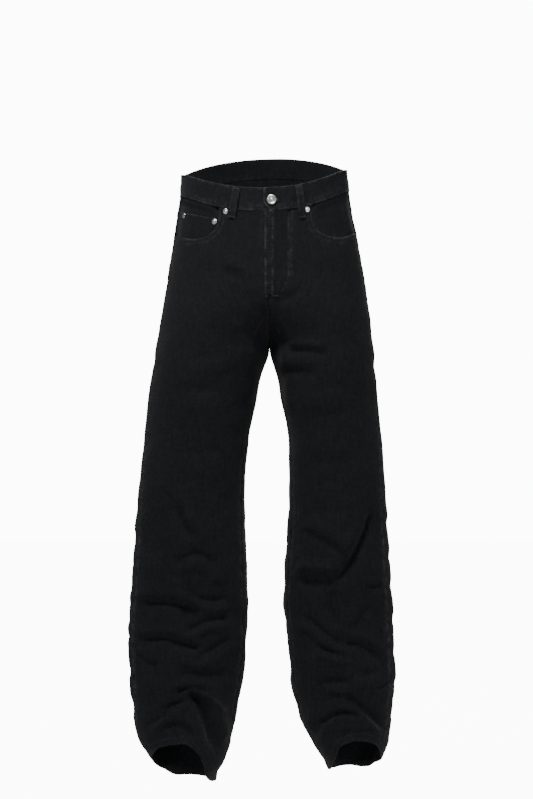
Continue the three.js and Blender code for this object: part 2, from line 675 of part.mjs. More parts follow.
add("fly_placket", wall(6, 12, (u, v) => {
  const top = waistSeam(1, 88) - SEAM_GAP - 0.6;
  const z = mix(top, FLY_BOTTOM_Z, v);
  const turned = clamp01((FLY_TURN_Z - z) / (FLY_TURN_Z - FLY_BOTTOM_Z));
  const inner = mix(FLY_FOOT_X, FLY_INNER_X, Math.sqrt(1 - turned ** 2));
  const x = mix(FLY_EDGE_X, inner, u);
  return [frontPoint(x, z, SEAM_GAP + CLOTH), frontPoint(x, z, SEAM_GAP)];
}));

// The waistband is one strip. It starts at the tab, runs round the left side and the back, and
// ends as the underlap behind the tab.
const bandTurn = (x) => THREE.MathUtils.radToDeg(Math.asin(x / WAIST_HALF_WIDTH));
const frontAround = (x) => {
  const side = x < 0 ? -1 : 1;
  return side * (90 - turnAt(side, x, WAIST_SIDE_Z - WAISTBAND_HEIGHT, "front"));
};
const bandStart = frontAround(TAB_END_X);
const bandEnd = 360 + frontAround(UNDERLAP_X);

function bandPoint(around, height, out) {
  const wrapped = around > 180 ? around - 360 : around;
  const side = wrapped < 0 ? -1 : 1;
  const turn = 90 - Math.abs(wrapped);
  return offsetPoint(side, turn, waistZ(side, turn, height), out);
}

function bandFace(around) {
  const [tabFrom, tabTo] = TAB_RAMP_X.map(frontAround);
  const [underFrom, underTo] = UNDERLAP_RAMP_X.map((x) => 360 + frontAround(x));
  const over = 1 - ease((around - tabFrom) / (tabTo - tabFrom));
  const under = ease((around - underFrom) / (underTo - underFrom));
  return WAISTBAND_PROUD + LAP_STEP * (over - under);
}

const BAND_COLUMNS = 64;
const band = wall(BAND_COLUMNS, 2, (u, v) => {
  const around = mix(bandStart, bandEnd, u);
  const height = v * (WAISTBAND_HEIGHT - SEAM_GAP / 2);
  const out = bandFace(around);
  return [bandPoint(around, height, out), bandPoint(around, height, out - WAISTBAND_WALL)];
});

// A frame on the front of the jeans: its Z axis points out of the cloth.
function frameOn(x, z, out) {
  const side = x < 0 ? -1 : 1;
  const turn = turnAt(side, x, z, "front");
  const normal = normalOf(side, turn, z, clothPoint);
  const along = new THREE.Vector3().crossVectors(new THREE.Vector3(0, 0, 1), normal).normalize();
  const up = new THREE.Vector3().crossVectors(normal, along);
  const matrix = new THREE.Matrix4().makeBasis(along, up, normal);
  matrix.setPosition(offsetPoint(side, turn, z, out));
  return matrix;
}

// The buttonhole is a slot through the tab alone, with round ends.
const tabFace = WAISTBAND_PROUD + LAP_STEP;
const underlapFace = WAISTBAND_PROUD - LAP_STEP;
const holeShape = new THREE.Shape();
const holeReach = BUTTONHOLE.length / 2 - BUTTONHOLE.radius;
holeShape.absarc(-holeReach, 0, BUTTONHOLE.radius, Math.PI / 2, (3 * Math.PI) / 2);
holeShape.absarc(holeReach, 0, BUTTONHOLE.radius, -Math.PI / 2, Math.PI / 2);
const hole = new THREE.ExtrudeGeometry(holeShape, {
  depth: 8,
  bevelEnabled: false,
  curveSegments: 5,
});
hole.applyMatrix4(frameOn(BUTTONHOLE.x, BUTTON.z, underlapFace + SEAM_GAP / 2));
add("waistband", geometryFrom(solidOf(band).subtract(solidOf(hole))));

function bare(geometry) {
  const plain = geometry.clone();
  plain.deleteAttribute("normal");
  plain.deleteAttribute("uv");
  return plain;
}

// A turned piece whose profile is a list of [radius, height] from the axis to the axis.
function turned(profile, segments, matrix) {
  const points = profile.map(([r, h]) => new THREE.Vector2(r, h));
  const lathe = new THREE.LatheGeometry(points, segments);
  lathe.rotateX(Math.PI / 2);
  const merged = mergeVertices(bare(lathe), 1e-4);
  return facingOut(dropFlat(merged.applyMatrix4(matrix)));
}

function dropFlat(geometry) {
  const index = geometry.index.array;
  const kept = [];
  for (let k = 0; k < index.length; k += 3) {
    const [a, b, c] = [index[k], index[k + 1], index[k + 2]];
    if (a !== b && b !== c && c !== a) kept.push(a, b, c);
  }
  geometry.setIndex(kept);
  return geometry;
}

// The shank button: a dished head on a shank that passes through the buttonhole to the underlap.
const shankLength = tabFace - underlapFace;
const r = BUTTON.radius;
const buttonProfile = [
  [0, 0],
  [BUTTON.shank, 0],
  [BUTTON.shank, shankLength],
  [r - 0.7, shankLength],
  [r, shankLength + 0.7],
  [r - 0.3, shankLength + 2.1],
  [r - 1.5, shankLength + 2.5],
  [r - 2.6, shankLength + 1.7],
  [2.4, shankLength + 1.5],
  [1.3, shankLength + 2.0],
  [0, shankLength + 2.1],
];
const buttonFrame = frameOn(BUTTON.x, BUTTON.z, underlapFace + SEAM_GAP);
add("waist_button", turned(buttonProfile, 24, buttonFrame), METAL);

const RIVET_SEAT = { panel: SEAM_GAP, coin: SEAM_GAP - LAYER };
for (const rivet of RIVETS) {
  const { radius, height } = RIVET;
  const profile = [
    [0, 0],
    [radius, 0],
    [radius, height * 0.35],
    [radius * 0.8, height * 0.85],
    [radius * 0.45, height * 0.8],
    [radius * 0.3, height],
    [0, height],
  ];
  add(rivet.name, turned(profile, 14, frameOn(rivet.x, rivet.z, RIVET_SEAT[rivet.layer])), METAL);
}

// A belt loop is a strip that starts on top of the waistband, bows out over its face and is sewn
// down below the waist seam.
for (const loop of LOOPS) {
  const halfTurn = bandTurn(LOOP_WIDTH / 2) * 1.08;
  const length = WAISTBAND_HEIGHT + loop.below;
  add(loop.name, wall(2, 10, (u, v) => {
    const around = loop.turn + bandTurn(loop.drift) * v + mix(-halfTurn, halfTurn, u);
    const height = 1 + v * (length - 1);
    const bow = Math.sin(Math.PI * clamp01((v - 0.06) / 0.88)) ** 0.7;
    const out = WAISTBAND_PROUD + SEAM_GAP + LOOP_SLACK * bow;
    return [bandPoint(around, height, out + LOOP_WALL), bandPoint(around, height, out)];
  }));
}

export default garment;
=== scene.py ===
"""Straight leg jeans in black denim, hollow and held as they are worn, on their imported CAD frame.

Sizes are in millimetres here and become metres where a mesh is made. +Z is up, the front faces -Y,
and "right" and "left" are the wearer's, so right is at -X.
"""

import math

import bpy
import numpy as np
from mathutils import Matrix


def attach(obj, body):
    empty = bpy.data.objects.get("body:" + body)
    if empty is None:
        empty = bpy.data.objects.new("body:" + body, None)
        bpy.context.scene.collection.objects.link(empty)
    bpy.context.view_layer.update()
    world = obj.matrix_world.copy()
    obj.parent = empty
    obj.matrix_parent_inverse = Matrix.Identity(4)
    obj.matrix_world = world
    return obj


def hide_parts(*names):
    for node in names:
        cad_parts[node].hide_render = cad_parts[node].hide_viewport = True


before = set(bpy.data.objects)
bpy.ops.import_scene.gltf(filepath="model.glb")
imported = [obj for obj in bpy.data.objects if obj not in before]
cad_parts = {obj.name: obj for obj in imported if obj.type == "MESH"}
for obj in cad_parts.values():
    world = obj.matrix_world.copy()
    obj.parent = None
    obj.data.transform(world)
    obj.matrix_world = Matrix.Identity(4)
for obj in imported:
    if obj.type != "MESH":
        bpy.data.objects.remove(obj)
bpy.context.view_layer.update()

# Camera
# It stands level with the thighs and looks along +Y, far off with a long lens.
camera_data = bpy.data.cameras.new("camera")
camera_data.lens = 91.6
camera_data.sensor_width = 36
camera_data.clip_end = 40
camera = bpy.data.objects.new("camera", camera_data)
bpy.context.collection.objects.link(camera)
camera.location = (-0.00265, -3.6, -0.376)
camera.rotation_euler = (math.pi / 2, 0, 0)
bpy.context.scene.camera = camera

# Light and floor
# A soft light high in front, a weaker wide one from the right and one from behind, in a white room
# with a plain pale floor. The camera sees the room and the floor nearly white.
WHITE = (1, 1, 1, 1)


def area_light(name, place, target, size, watts):
    data = bpy.data.lights.new(name, "AREA")
    data.size = size
    data.energy = watts
    lamp = bpy.data.objects.new(name, data)
    lamp.location = place
    away = np.array(place) - np.array(target)
    flat = math.hypot(away[0], away[1])
    lamp.rotation_euler = (math.atan2(flat, away[2]), 0, math.atan2(away[0], -away[1]))
    bpy.context.collection.objects.link(lamp)


area_light("key", (-0.36, -1.2, 1.5), (0, 0, -0.3), 0.5, 68)
area_light("fill", (1.6, -2.2, 0.0), (0, 0, -0.3), 1.2, 15)
area_light("back", (0.7, 2.6, 1.7), (0, 0, -0.4), 1.0, 150)


class Nodes:
    """A node tree, to which nodes are added by kind, sockets and settings."""

    def __init__(self, tree):
        self.tree = tree

    def fill(self, made, sockets):
        """Gives sockets of a node their values or links."""
        for name, value in sockets.items():
            value = getattr(value, "socket", value)
            if isinstance(value, bpy.types.NodeSocket):
                self.tree.links.new(value, made.inputs[name])
            else:
                made.inputs[name].default_value = value
        return made

    def add(self, kind, sockets=None, **settings):
        """Adds a node, with its settings set first."""
        made = self.tree.nodes.new(kind)
        for name, value in settings.items():
            setattr(made, name, value)
        return self.fill(made, sockets or {})

    def named(self, name):
        return self.tree.nodes[name]


world = bpy.data.worlds.new("room")
world.use_nodes = True
bpy.context.scene.world = world
room = Nodes(world.node_tree)
lit = room.fill(room.named("Background"), {"Color": WHITE, "Strength": 0.12})
seen = room.add("ShaderNodeBackground", {"Color": WHITE, "Strength": 12.0})
rays = room.add("ShaderNodeLightPath")
to_camera = rays.outputs["Is Camera Ray"]
either = room.add("ShaderNodeMixShader", {0: to_camera, 1: lit.outputs[0], 2: seen.outputs[0]})
room.fill(room.named("World Output"), {"Surface": either.outputs[0]})

FLOOR_HALF = 9
FLOOR_Z = -1.25
corners = [(x * FLOOR_HALF, y * FLOOR_HALF, FLOOR_Z) for x, y in ((-1, -1), (1, -1), (1, 1), (-1, 1))]
floor_mesh = bpy.data.meshes.new("floor")
floor_mesh.from_pydata(corners, [], [(0, 1, 2, 3)])
floor = bpy.data.objects.new("floor", floor_mesh)
bpy.context.collection.objects.link(floor)
floor_paint = bpy.data.materials.new("floor")
floor_paint.use_nodes = True
ground = Nodes(floor_paint.node_tree)
chalk = ground.fill(ground.named("Principled BSDF"), {"Base Color": (0.86, 0.86, 0.86, 1), "Roughness": 0.9})
glow = ground.add("ShaderNodeEmission", {"Strength": 12.6})
rays = ground.add("ShaderNodeLightPath")
share = ground.add("ShaderNodeMath", {0: rays.outputs["Is Camera Ray"], 1: 0.9}, operation="MULTIPLY")
either = ground.add("ShaderNodeMixShader", {0: share.outputs[0], 1: chalk.outputs[0], 2: glow.outputs[0]})
ground.fill(ground.named("Material Output"), {"Surface": either.outputs[0]})
floor_mesh.materials.append(floor_paint)

# Front panels
# Two pieces of black twill, sewn to each other at the middle, to the backs at the sides and inseams and
# to the waistband. They come first, so the form of the legs, the folds and the cloth stand here too.

# Form of the legs
# Each leg is a stack of sections, and each half of the body is one cut at the middle seam. A point is
# given by its side, its turn round the section (0 at the outer edge, 90 at the front) and its height.
CROTCH_Z = -285
CROTCH_X = 2.7
RISE_TOP_Z = -150  # above it the middle seam stands straight
RISE_CURVE = 128
RISE_POWER = 1.5
OUTLINE = {
    "z": (
        60, 0, -50, -136, -221, -285, -342, -380, -448, -540, -660, -731, -802, -873, -929, -972,
        -993, -1014, -1035, -1066,
    ),
    "right_outer": (
        152, 153.5, 160, 173.5, 187.5, 199, 208, 213.5, 220, 230, 239, 244, 248, 244.5, 239, 230,
        217, 201.5, 184, 180,
    ),
    "right_inner": (
        -2.7, -2.7, -2.7, -2.7, -2.7, -2.7, 14, 20.5, 34, 41, 37.5, 35, 37.5, 44.5, 55.5, 64.5, 70,
        77, 89, 96,
    ),
    "left_outer": (
        137.5, 141.5, 149.5, 166, 179.5, 187, 192, 195, 202, 208.5, 216, 220.5, 223.5, 225.5, 218.5,
        214.5, 207, 196, 184, 180,
    ),
    "left_inner": (
        2.7, 2.7, 2.7, 2.7, 2.7, 2.7, 17.5, 23.5, 36, 37, 30.5, 27.5, 34.5, 40.5, 53, 73.5, 86, 100,
        108, 112,
    ),
}
DEPTH = {
    "z": (60, -50, -130, -210, -285, -390, -520, -650, -800, -890, -940, -975, -1066),
    "middle": (0, 0, 0, 2, 8, 6, 4, 2, 0, 0, -2, -4, -4),
    "front": (104, 108, 113, 116, 112, 98, 84, 71, 60, 68, 82, 94, 100),
    "back": (104, 114, 128, 134, 116, 98, 82, 66, 57, 64, 70, 77, 90),
    "corner": (2.25, 2.25, 2.2, 2.15, 2.1, 2.1, 2.1, 2.15, 2.2, 2.2, 2.15, 2.1, 2.1),
}
SEAMS = {
    "z": (60, -100, -285, -420, -640, -900, -1066),
    "right_side": (4, 5, 14, 21, 27, 26, 21),
    "left_side": (4, 5, 14, 23, 31, 30, 23),
    "inseam": (180, 180, 180, 164, 156, 158, 160),
}
HEM_RIGHT = {
    "turn": (-180, -130, -60, -20, 0, 20, 41, 63, 90, 106, 114, 123, 150, 180),
    "z": (
        -1048, -1056, -1054, -1038, -1026, -1006, -992, -977, -970, -985, -1002, -1026, -1042, -1048,
    ),
}
HEM_LEFT = {
    "turn": (-180, -130, -60, -30, 0, 20, 35, 43, 55, 72, 84, 98, 109, 116, 136, 153, 180),
    "z": (
        -1029, -1038, -1038, -1033, -1016, -1005, -993, -983, -973, -966, -965, -970, -979, -991,
        -1010, -1022, -1029,
    ),
}
WAIST_SIDE_Z = 25
WAIST_DIP = 34.4
WAIST_LIFT = 37
WAIST_DEPTH = 104
WAIST_ROLL = 0.031
BAND_HEIGHT = 39


def ease(t):
    t = np.clip(t, 0, 1)
    return t * t * (3 - 2 * t)


def mix(a, b, t):
    return a + (b - a) * t


def bell(x, width):
    """1 at 0, falling away smoothly over about width on both sides."""
    return np.exp(-((x / width) ** 2))


def track(at, values):
    """A smooth run through a table's columns, with no overshoot between its rows."""
    order = np.argsort(at)
    x = np.array(at, float)[order]
    y = np.array(values, float)[order]
    rise = np.diff(y) / np.diff(x)
    slope = np.concatenate([[rise[0]], np.zeros(len(x) - 2), [rise[-1]]])
    same = rise[:-1] * rise[1:] > 0
    total = np.where(same, rise[:-1] + rise[1:], 1)
    slope[1:-1] = np.where(same, 2 * rise[:-1] * rise[1:] / total, 0)

    def value(v):
        v = np.clip(v, x[0], x[-1])
        i = np.clip(np.searchsorted(x, v) - 1, 0, len(x) - 2)
        span = x[i + 1] - x[i]
        t = (v - x[i]) / span
        return (
            y[i] * (1 + 2 * t) * (1 - t) ** 2
            + slope[i] * span * t * (1 - t) ** 2
            + y[i + 1] * t * t * (3 - 2 * t)
            + slope[i + 1] * span * t * t * (t - 1)
        )

    return value


outer_x = {s: track(OUTLINE["z"], OUTLINE[n + "_outer"]) for s, n in ((-1, "right"), (1, "left"))}
inner_x = {s: track(OUTLINE["z"], OUTLINE[n + "_inner"]) for s, n in ((-1, "right"), (1, "left"))}
middle_y = track(DEPTH["z"], DEPTH["middle"])
front_y = track(DEPTH["z"], DEPTH["front"])
back_y = track(DEPTH["z"], DEPTH["back"])
corner = track(DEPTH["z"], DEPTH["corner"])
side_seams = {s: track(SEAMS["z"], SEAMS[n + "_side"]) for s, n in ((-1, "right"), (1, "left"))}
inseam = track(SEAMS["z"], SEAMS["inseam"])
hem_line = {-1: track(HEM_RIGHT["turn"], HEM_RIGHT["z"]), 1: track(HEM_LEFT["turn"], HEM_LEFT["z"])}


def section(side, z):
    """Half width, middle and last turn of the section at each height."""
    outer = outer_x[side](z)
    inner = inner_x[side](z)
    share = np.clip((z - CROTCH_Z) / RISE_CURVE, 0, 1)
    lap = (1 - share**RISE_POWER) ** RISE_POWER
    middle = CROTCH_X * ease((RISE_TOP_Z - z) / (RISE_TOP_Z - CROTCH_Z))
    above = z > CROTCH_Z
    body_half = (outer - side * middle) / (1 + lap)
    half = np.where(above, body_half, (outer - inner) / 2)
    centre = np.where(above, middle + side * lap * body_half, side * (outer + inner) / 2)
    end = np.where(above, np.degrees(np.arccos(-(lap ** (corner(z) / 2)))), 180)
    return half, centre, end


def in_turn(turn):
    """The same place's turn from -180 to 180, for a back panel that runs on past -180."""
    return np.where(turn < -180, turn + 360, turn)


def power(value, exponent):
    return np.sign(value) * np.abs(value) ** exponent


def plain(side, turn, z):
    """Points of the cloth with no folds."""
    half, centre, _end = section(side, z)
    exponent = 2 / corner(z)
    across = power(np.cos(np.radians(turn)), exponent)
    forward = power(np.sin(np.radians(turn)), exponent)
    reach = np.where(forward > 0, front_y(z), back_y(z))
    return np.stack([centre + side * half * across, middle_y(z) - reach * forward, z + 0 * turn], -1)


def facing(form, side, turn, z):
    """Unit normals, outwards, of a form such as plain."""
    round_it = form(side, turn + 0.6, z) - form(side, turn - 0.6, z)
    up = form(side, turn, z + 1.2) - form(side, turn, z - 1.2)
    n = np.cross(round_it, up) * -side
    return n / np.linalg.norm(n, axis=-1, keepdims=True)


def turn_at(side, x, z, face):
    """The turn at which a section has a given x, on its front (1) or its back (-1)."""
    half, centre, _end = section(side, z)
    across = np.clip(side * (x - centre) / half, -1, 1)
    return face * np.degrees(np.arccos(power(across, corner(z) / 2)))


def waist_z(side, turn, below):
    """The height at which the cloth is so far below the top of the waistband."""
    z = -below + 0 * turn
    for _ in range(5):
        p = plain(side, turn, z)
        y = p[..., 1] / WAIST_DEPTH
        lift = WAIST_LIFT * np.clip(y, 0, 2) ** 1.7 - WAIST_DIP * np.clip(-y, 0, 2) ** 2.4
        z = WAIST_SIDE_Z + WAIST_ROLL * p[..., 0] + lift - below
    return z


# Folds
# Each is a soft trough from (x1, z1) past (xm, zm) to (x2, z2) with a ridge beside it, as it is seen
# from the front, the back or the outer side, where x stands for y. A lip above 0 puts the ridge on the
# left of the run, and a depth below 0 makes the line itself a ridge.
FOLD_COLUMNS = ("x1", "z1", "xm", "zm", "x2", "z2", "depth", "half", "lip")
FOLDS = {
    "front": (
        (-84, -152, -60, -156, -42, -166, 1.2, 10, 1),
        (-80, -158, -52, -164, -34, -182, 2.4, 11, 2),
        (-54, -178, -60, -215, -50, -248, 4, 13, 0),
        (-30, -188, -38, -232, -30, -262, 2, 12, 0),
        (10, -208, 40, -212, 56, -176, 2.6, 8, 0),
        (24, -196, 44, -204, 66, -190, 1.6, 8, 1),
        (-2, -232, -8, -250, -20, -270, 5, 8, -3),
        (4, -240, 14, -262, 30, -282, 3, 9, 2),
        (-44, -262, -26, -310, -30, -385, -5, 15, 0),
        (28, -285, 34, -340, 40, -400, -4, 15, 0),
        (34, -294, 66, -290, 100, -300, 4, 9, 3),
        (22, -328, 50, -326, 80, -334, 4, 13, 2),
        (-70, -300, -100, -296, -140, -310, 2, 13, 1),
        (-70, -368, -110, -352, -160, -372, 2, 17, 1),
        (58, -402, 96, -410, 140, -398, 2, 18, 1),
        (-80, -470, -120, -460, -170, -476, 2, 18, 1),
        (66, -480, 110, -490, 150, -474, 2, 18, 1),
        (-184, -532, -160, -560, -137, -620, 3.5, 11, 2),
        (-152, -570, -150, -598, -132, -615, 4, 9, 3),
        (-163, -668, -124, -620, -88, -672, 5, 10, -3),
        (-148, -700, -122, -736, -66, -724, 6, 9, -4),
        (-172, -682, -146, -712, -118, -744, -4, 9, 0),
        (-228, -736, -170, -724, -112, -746, 7, 12, 4),
        (-143, -784, -112, -756, -62, -758, 6, 8, -4),
        (-228, -800, -165, -782, -124, -814, 6.5, 9, 4),
        (-170, -800, -140, -810, -118, -808, 4, 6, 2),
        (-136, -838, -100, -812, -60, -792, 5, 9, -3),
        (-152, -846, -122, -866, -62, -854, 6, 13, 2.5),
        (-150, -874, -110, -880, -72, -930, -6, 8, 0),
        (-160, -892, -146, -866, -100, -887, 8, 7, 4),
        (-182, -914, -158, -904, -140, -896, 7, 7, -5),
        (-138, -884, -108, -915, -88, -985, 16, 12, 9),
        (-214, -948, -176, -916, -146, -908, 5, 8, -3),
        (-184, -952, -156, -926, -126, -960, 5, 8, 3),
        (-234, -860, -212, -890, -192, -936, 5, 15, 0),
        (-236, -820, -214, -838, -190, -842, 4, 9, 2),
        (-90, -690, -74, -720, -58, -760, 4, 10, 0),
        (56, -606, 100, -622, 140, -655, 5, 12, 3),
        (130, -572, 134, -606, 128, -650, -4, 12, 0),
        (182, -566, 172, -622, 116, -700, 10, 11, -6),
        (46, -692, 84, -700, 118, -690, 6, 14, 4),
        (50, -664, 80, -666, 116, -668, -6, 11, 0),
        (120, -708, 106, -742, 120, -778, 6, 13, 0),
        (168, -700, 182, -704, 200, -702, 3, 7, 2),
        (62, -752, 94, -784, 132, -806, 6, 8, -5),
        (82, -806, 112, -818, 142, -826, 5, 7, -4),
        (148, -780, 168, -748, 178, -734, 3.5, 8, 2),
        (134, -804, 158, -790, 202, -838, 6, 9, 4),
        (84, -876, 108, -866, 148, -870, 7, 9, -5),
        (86, -884, 112, -894, 130, -890, 4, 8, 2),
        (132, -892, 166, -908, 208, -952, 9, 10, -6),
        (82, -950, 122, -902, 168, -932, 9, 8, -5),
        (86, -966, 120, -930, 196, -954, -5, 8, 0),
        (214, -868, 204, -878, 188, -882, 4, 7, 2),
        (70, -816, 86, -872, 72, -950, -5, 10, 0),
        (196, -846, 176, -862, 150, -852, 4, 10, 2),
        (40, -560, 52, -600, 44, -646, 3, 13, 0),
    ),
    "back": (
        (-18, -236, -50, -264, -112, -258, 4, 11, -3),
        (18, -240, 54, -268, 108, -266, 4, 11, 3),
        (-26, -266, -66, -300, -138, -300, 5, 13, -3),
        (24, -262, 78, -306, 136, -290, 4, 12, 3),
        (-48, -330, -84, -352, -150, -338, 3, 15, -2),
        (60, -352, 92, -366, 146, -350, 3, 15, 2),
        (-70, -560, -96, -590, -170, -600, 5, 13, -3),
        (-196, -588, -160, -622, -104, -634, 7, 12, 4),
        (-60, -640, -84, -650, -128, -640, 4, 11, -2),
        (-214, -668, -184, -690, -130, -684, 6, 12, -4),
        (-74, -700, -104, -724, -166, -736, 7, 11, -4),
        (-200, -742, -176, -770, -118, -776, 5, 11, 3),
        (-92, -776, -84, -806, -100, -838, 4, 12, 0),
        (-216, -806, -180, -812, -146, -840, 6, 11, -4),
        (-120, -842, -98, -860, -76, -896, 5, 10, 3),
        (-196, -870, -160, -892, -112, -884, 7, 11, -4),
        (-88, -924, -120, -938, -176, -926, 5, 10, -3),
        (-206, -950, -186, -968, -150, -972, 4, 10, 2),
        (-110, -984, -130, -1000, -168, -994, 4, 9, -2),
        (62, -572, 96, -600, 150, -606, 6, 13, 3),
        (190, -604, 158, -640, 112, -646, 7, 12, -4),
        (56, -660, 84, -676, 132, -668, 4, 11, 2),
        (204, -690, 168, -708, 124, -722, 6, 12, -4),
        (66, -738, 92, -764, 140, -770, 7, 11, 4),
        (196, -764, 184, -792, 160, -806, 4, 11, 2),
        (82, -812, 110, -826, 168, -852, 6, 11, 4),
        (208, -838, 196, -866, 172, -880, 4, 11, -2),
        (74, -880, 104, -900, 150, -896, 6, 10, 3),
        (198, -920, 164, -940, 122, -936, 6, 10, -4),
        (110, -974, 140, -990, 178, -980, 4, 9, 2),
    ),
    "right_side": (
        (-30, -610, 0, -622, 34, -612, 1.6, 11, 0.8),
        (-26, -670, 4, -662, 34, -676, 1.6, 11, 0.8),
        (-30, -742, 0, -734, 30, -744, 2.0, 10, 1),
        (-28, -798, 0, -790, 30, -804, 2.0, 10, 1),
        (-30, -852, 0, -862, 30, -850, 1.6, 11, 0.8),
        (-30, -920, 2, -910, 34, -926, 1.2, 11, 0.6),
        (-30, -300, 10, -318, 50, -310, 1.5, 14, 0.6),
    ),
    "left_side": (
        (-30, -586, 0, -600, 34, -592, 1.6, 11, 0.8),
        (-28, -652, 0, -660, 34, -650, 1.6, 11, 0.8),
        (-28, -704, 0, -698, 30, -710, 1.2, 10, 0.6),
        (-30, -764, 2, -772, 30, -760, 2.0, 10, 1),
        (-30, -828, 0, -820, 30, -834, 2.0, 10, 1),
        (-28, -874, 0, -882, 30, -872, 2.2, 9, 1),
        (-30, -936, 2, -928, 34, -944, 1.2, 11, 0.6),
        (-30, -310, 10, -326, 50, -316, 1.5, 14, 0.6),
    ),
}
FOLD_TAPER = 0.24


def folded(view, x, z):
    """How far the folds of one view push the cloth out at (x, z)."""
    push = np.zeros(np.broadcast(x, z).shape)
    run = np.linspace(0, 1, 25)
    for row in FOLDS[view]:
        f = dict(zip(FOLD_COLUMNS, row))
        px = (1 - run) ** 2 * f["x1"] + 2 * run * (1 - run) * f["xm"] + run**2 * f["x2"]
        pz = (1 - run) ** 2 * f["z1"] + 2 * run * (1 - run) * f["zm"] + run**2 * f["z2"]
        reach = 3.4 * f["half"]
        near = (x > px.min() - reach) & (x < px.max() + reach)
        near &= (z > pz.min() - reach) & (z < pz.max() + reach)
        if not near.any():
            continue
        dx = x[near][:, None] - px
        dz = z[near][:, None] - pz
        best = np.argmin(dx**2 + dz**2, axis=1)
        pick = np.arange(len(best))
        tx = np.gradient(px)[best]
        tz = np.gradient(pz)[best]
        length = np.hypot(tx, tz)
        left = (-dx[pick, best] * tz + dz[pick, best] * tx) / length
        past = (dx[pick, best] * tx + dz[pick, best] * tz) / length
        t = np.clip(run[best] + past / (length * len(run)), -0.2, 1.2)
        fade = ease((t + 0.05) / FOLD_TAPER) * ease((1.05 - t) / FOLD_TAPER)
        trough = np.exp(-1.9 * (np.sqrt((left / f["half"]) ** 2 + 0.1) - 0.316))
        lip = bell(np.sign(f["lip"]) * left / f["half"] - 1.5, 1)
        push[near] += fade * (abs(f["lip"]) * lip - f["depth"] * trough)
    return push


WAVES = 22


def unevenness(side, turn, z, size, seed):
    """Gentle uneven waves in the cloth, about size wide, between -1 and 1."""
    chance = np.random.default_rng(seed)
    x = 100 * side * np.cos(np.radians(turn))
    y = 100 * np.sin(np.radians(turn))
    value = np.zeros(np.broadcast(turn, z).shape)
    for _ in range(WAVES):
        heading = chance.uniform(0, 2 * math.pi)
        steep = chance.uniform(0, math.pi)
        pitch = size * chance.uniform(0.6, 1.8)
        start = chance.uniform(0, 2 * math.pi)
        level = (x * math.cos(heading) + y * math.sin(heading)) * math.cos(steep)
        value += np.sin(2 * math.pi * (level + z * math.sin(steep)) / pitch + start)
    return value / math.sqrt(WAVES)


def pucker(away, along, seed):
    """The small gathers that run into a seam, from the distance to it and the place along it."""
    beat = np.sin(along / 2.9 + 1.3 * np.sin(along / 23 + seed) + 0.8 * np.sin(along / 9.1 + 2 * seed))
    strength = 0.6 + 0.4 * np.sin(along / 37 + 3 * seed)
    return beat * strength * bell(away, 7.5)


def cloth(side, turn, z, sewn=1.0):
    """Points of the folded, uneven cloth. Where sewn is 0 it has no seams."""
    turn, z = np.broadcast_arrays(np.asarray(turn, float), np.asarray(z, float))
    p = plain(side, turn, z)
    sine = np.sin(np.radians(turn))
    cosine = np.cos(np.radians(turn))
    frontal = ease((np.abs(sine) - 0.12) / 0.5)
    push = frontal * np.where(sine > 0, folded("front", p[..., 0], z), folded("back", p[..., 0], z))
    lateral = ease((cosine - 0.62) / 0.3)
    push = push + lateral * folded("right_side" if side < 0 else "left_side", p[..., 1], z)
    half, _centre, end = section(side, z)
    bend = np.radians(1) * half
    to_middle = (np.where(z > CROTCH_Z, end, 180) - np.abs(turn)) * bend
    joined = bell(to_middle, 11) * ease((z - CROTCH_Z + 30) / 30)
    low = ease((-480 - z) / 200)
    free = 1 - joined
    push = push + mix(0.35, 0.8, low) * unevenness(side, turn, z, 46, 3) * free
    push = push + mix(0.15, 0.3, low) * unevenness(side, turn, z, 19, 5) * free
    from_side = (turn - side_seams[side](z)) * bend
    push = push + sewn * 0.4 * pucker(from_side, z, 1.0 + side)
    ridge = 0.5 * bell(from_side, 6) - 1.0 * bell(from_side, 1.1)
    push = push + sewn * ridge
    from_inner = np.where(z > CROTCH_Z, end - np.abs(turn), inseam(z) - in_turn(turn)) * bend
    weight = sewn * np.where(z > CROTCH_Z, 0.6, 1.0)
    push = push + weight * 0.45 * pucker(from_inner, z, 2.0)
    push = push - weight * 0.9 * bell(from_inner, 1.1)
    above_hem = z - hem_line[side](in_turn(turn))
    push = push + 0.5 * pucker(above_hem - 10, turn * bend, 3.0 + side)
    push = push + 0.5 * bell(above_hem - 5, 6)
    away = facing(plain, side, turn, z)
    away[..., 0] *= free
    return p + away * push[..., None]


def unsewn(side, turn, z):
    return cloth(side, turn, z, 0.0)


def raised(side, turn, z, out, form=cloth):
    """Points so far above the cloth, and the normals there."""
    n = facing(form, side, turn, z)
    return form(side, turn, z) + n * (out + 0 * turn + 0 * z)[..., None], n


# Denim
# Black cotton twill, with fine diagonal ribs and slubs along the warp. It turns grey in patches where
# the wear attribute of a mesh says that the dye has worn off.
class Value:
    """A shader value that can be added, subtracted, multiplied and so on."""

    def __init__(self, nodes, socket):
        self.nodes = nodes
        self.socket = socket

    def _math(self, kind, *parts):
        made = self.nodes.add("ShaderNodeMath", dict(enumerate(parts)), operation=kind)
        return Value(self.nodes, made.outputs[0])

    def __add__(self, other):
        return self._math("ADD", self, other)

    def __sub__(self, other):
        return self._math("SUBTRACT", self, other)

    def __rsub__(self, other):
        return self._math("SUBTRACT", other, self)

    def __mul__(self, other):
        return self._math("MULTIPLY", self, other)

    __radd__ = __add__
    __rmul__ = __mul__

    def sin(self):
        return self._math("SINE", self)

    def clamp(self):
        return self._math("MINIMUM", self._math("MAXIMUM", self, 0.0), 1.0)


def noise(nodes, vector, scale, detail=3.0):
    made = nodes.add("ShaderNodeTexNoise", {"Vector": vector, "Scale": scale, "Detail": detail})
    return Value(nodes, made.outputs["Fac"])


def stretched(nodes, vector, scale):
    return nodes.add("ShaderNodeMapping", {"Vector": vector, "Scale": scale}).outputs["Vector"]


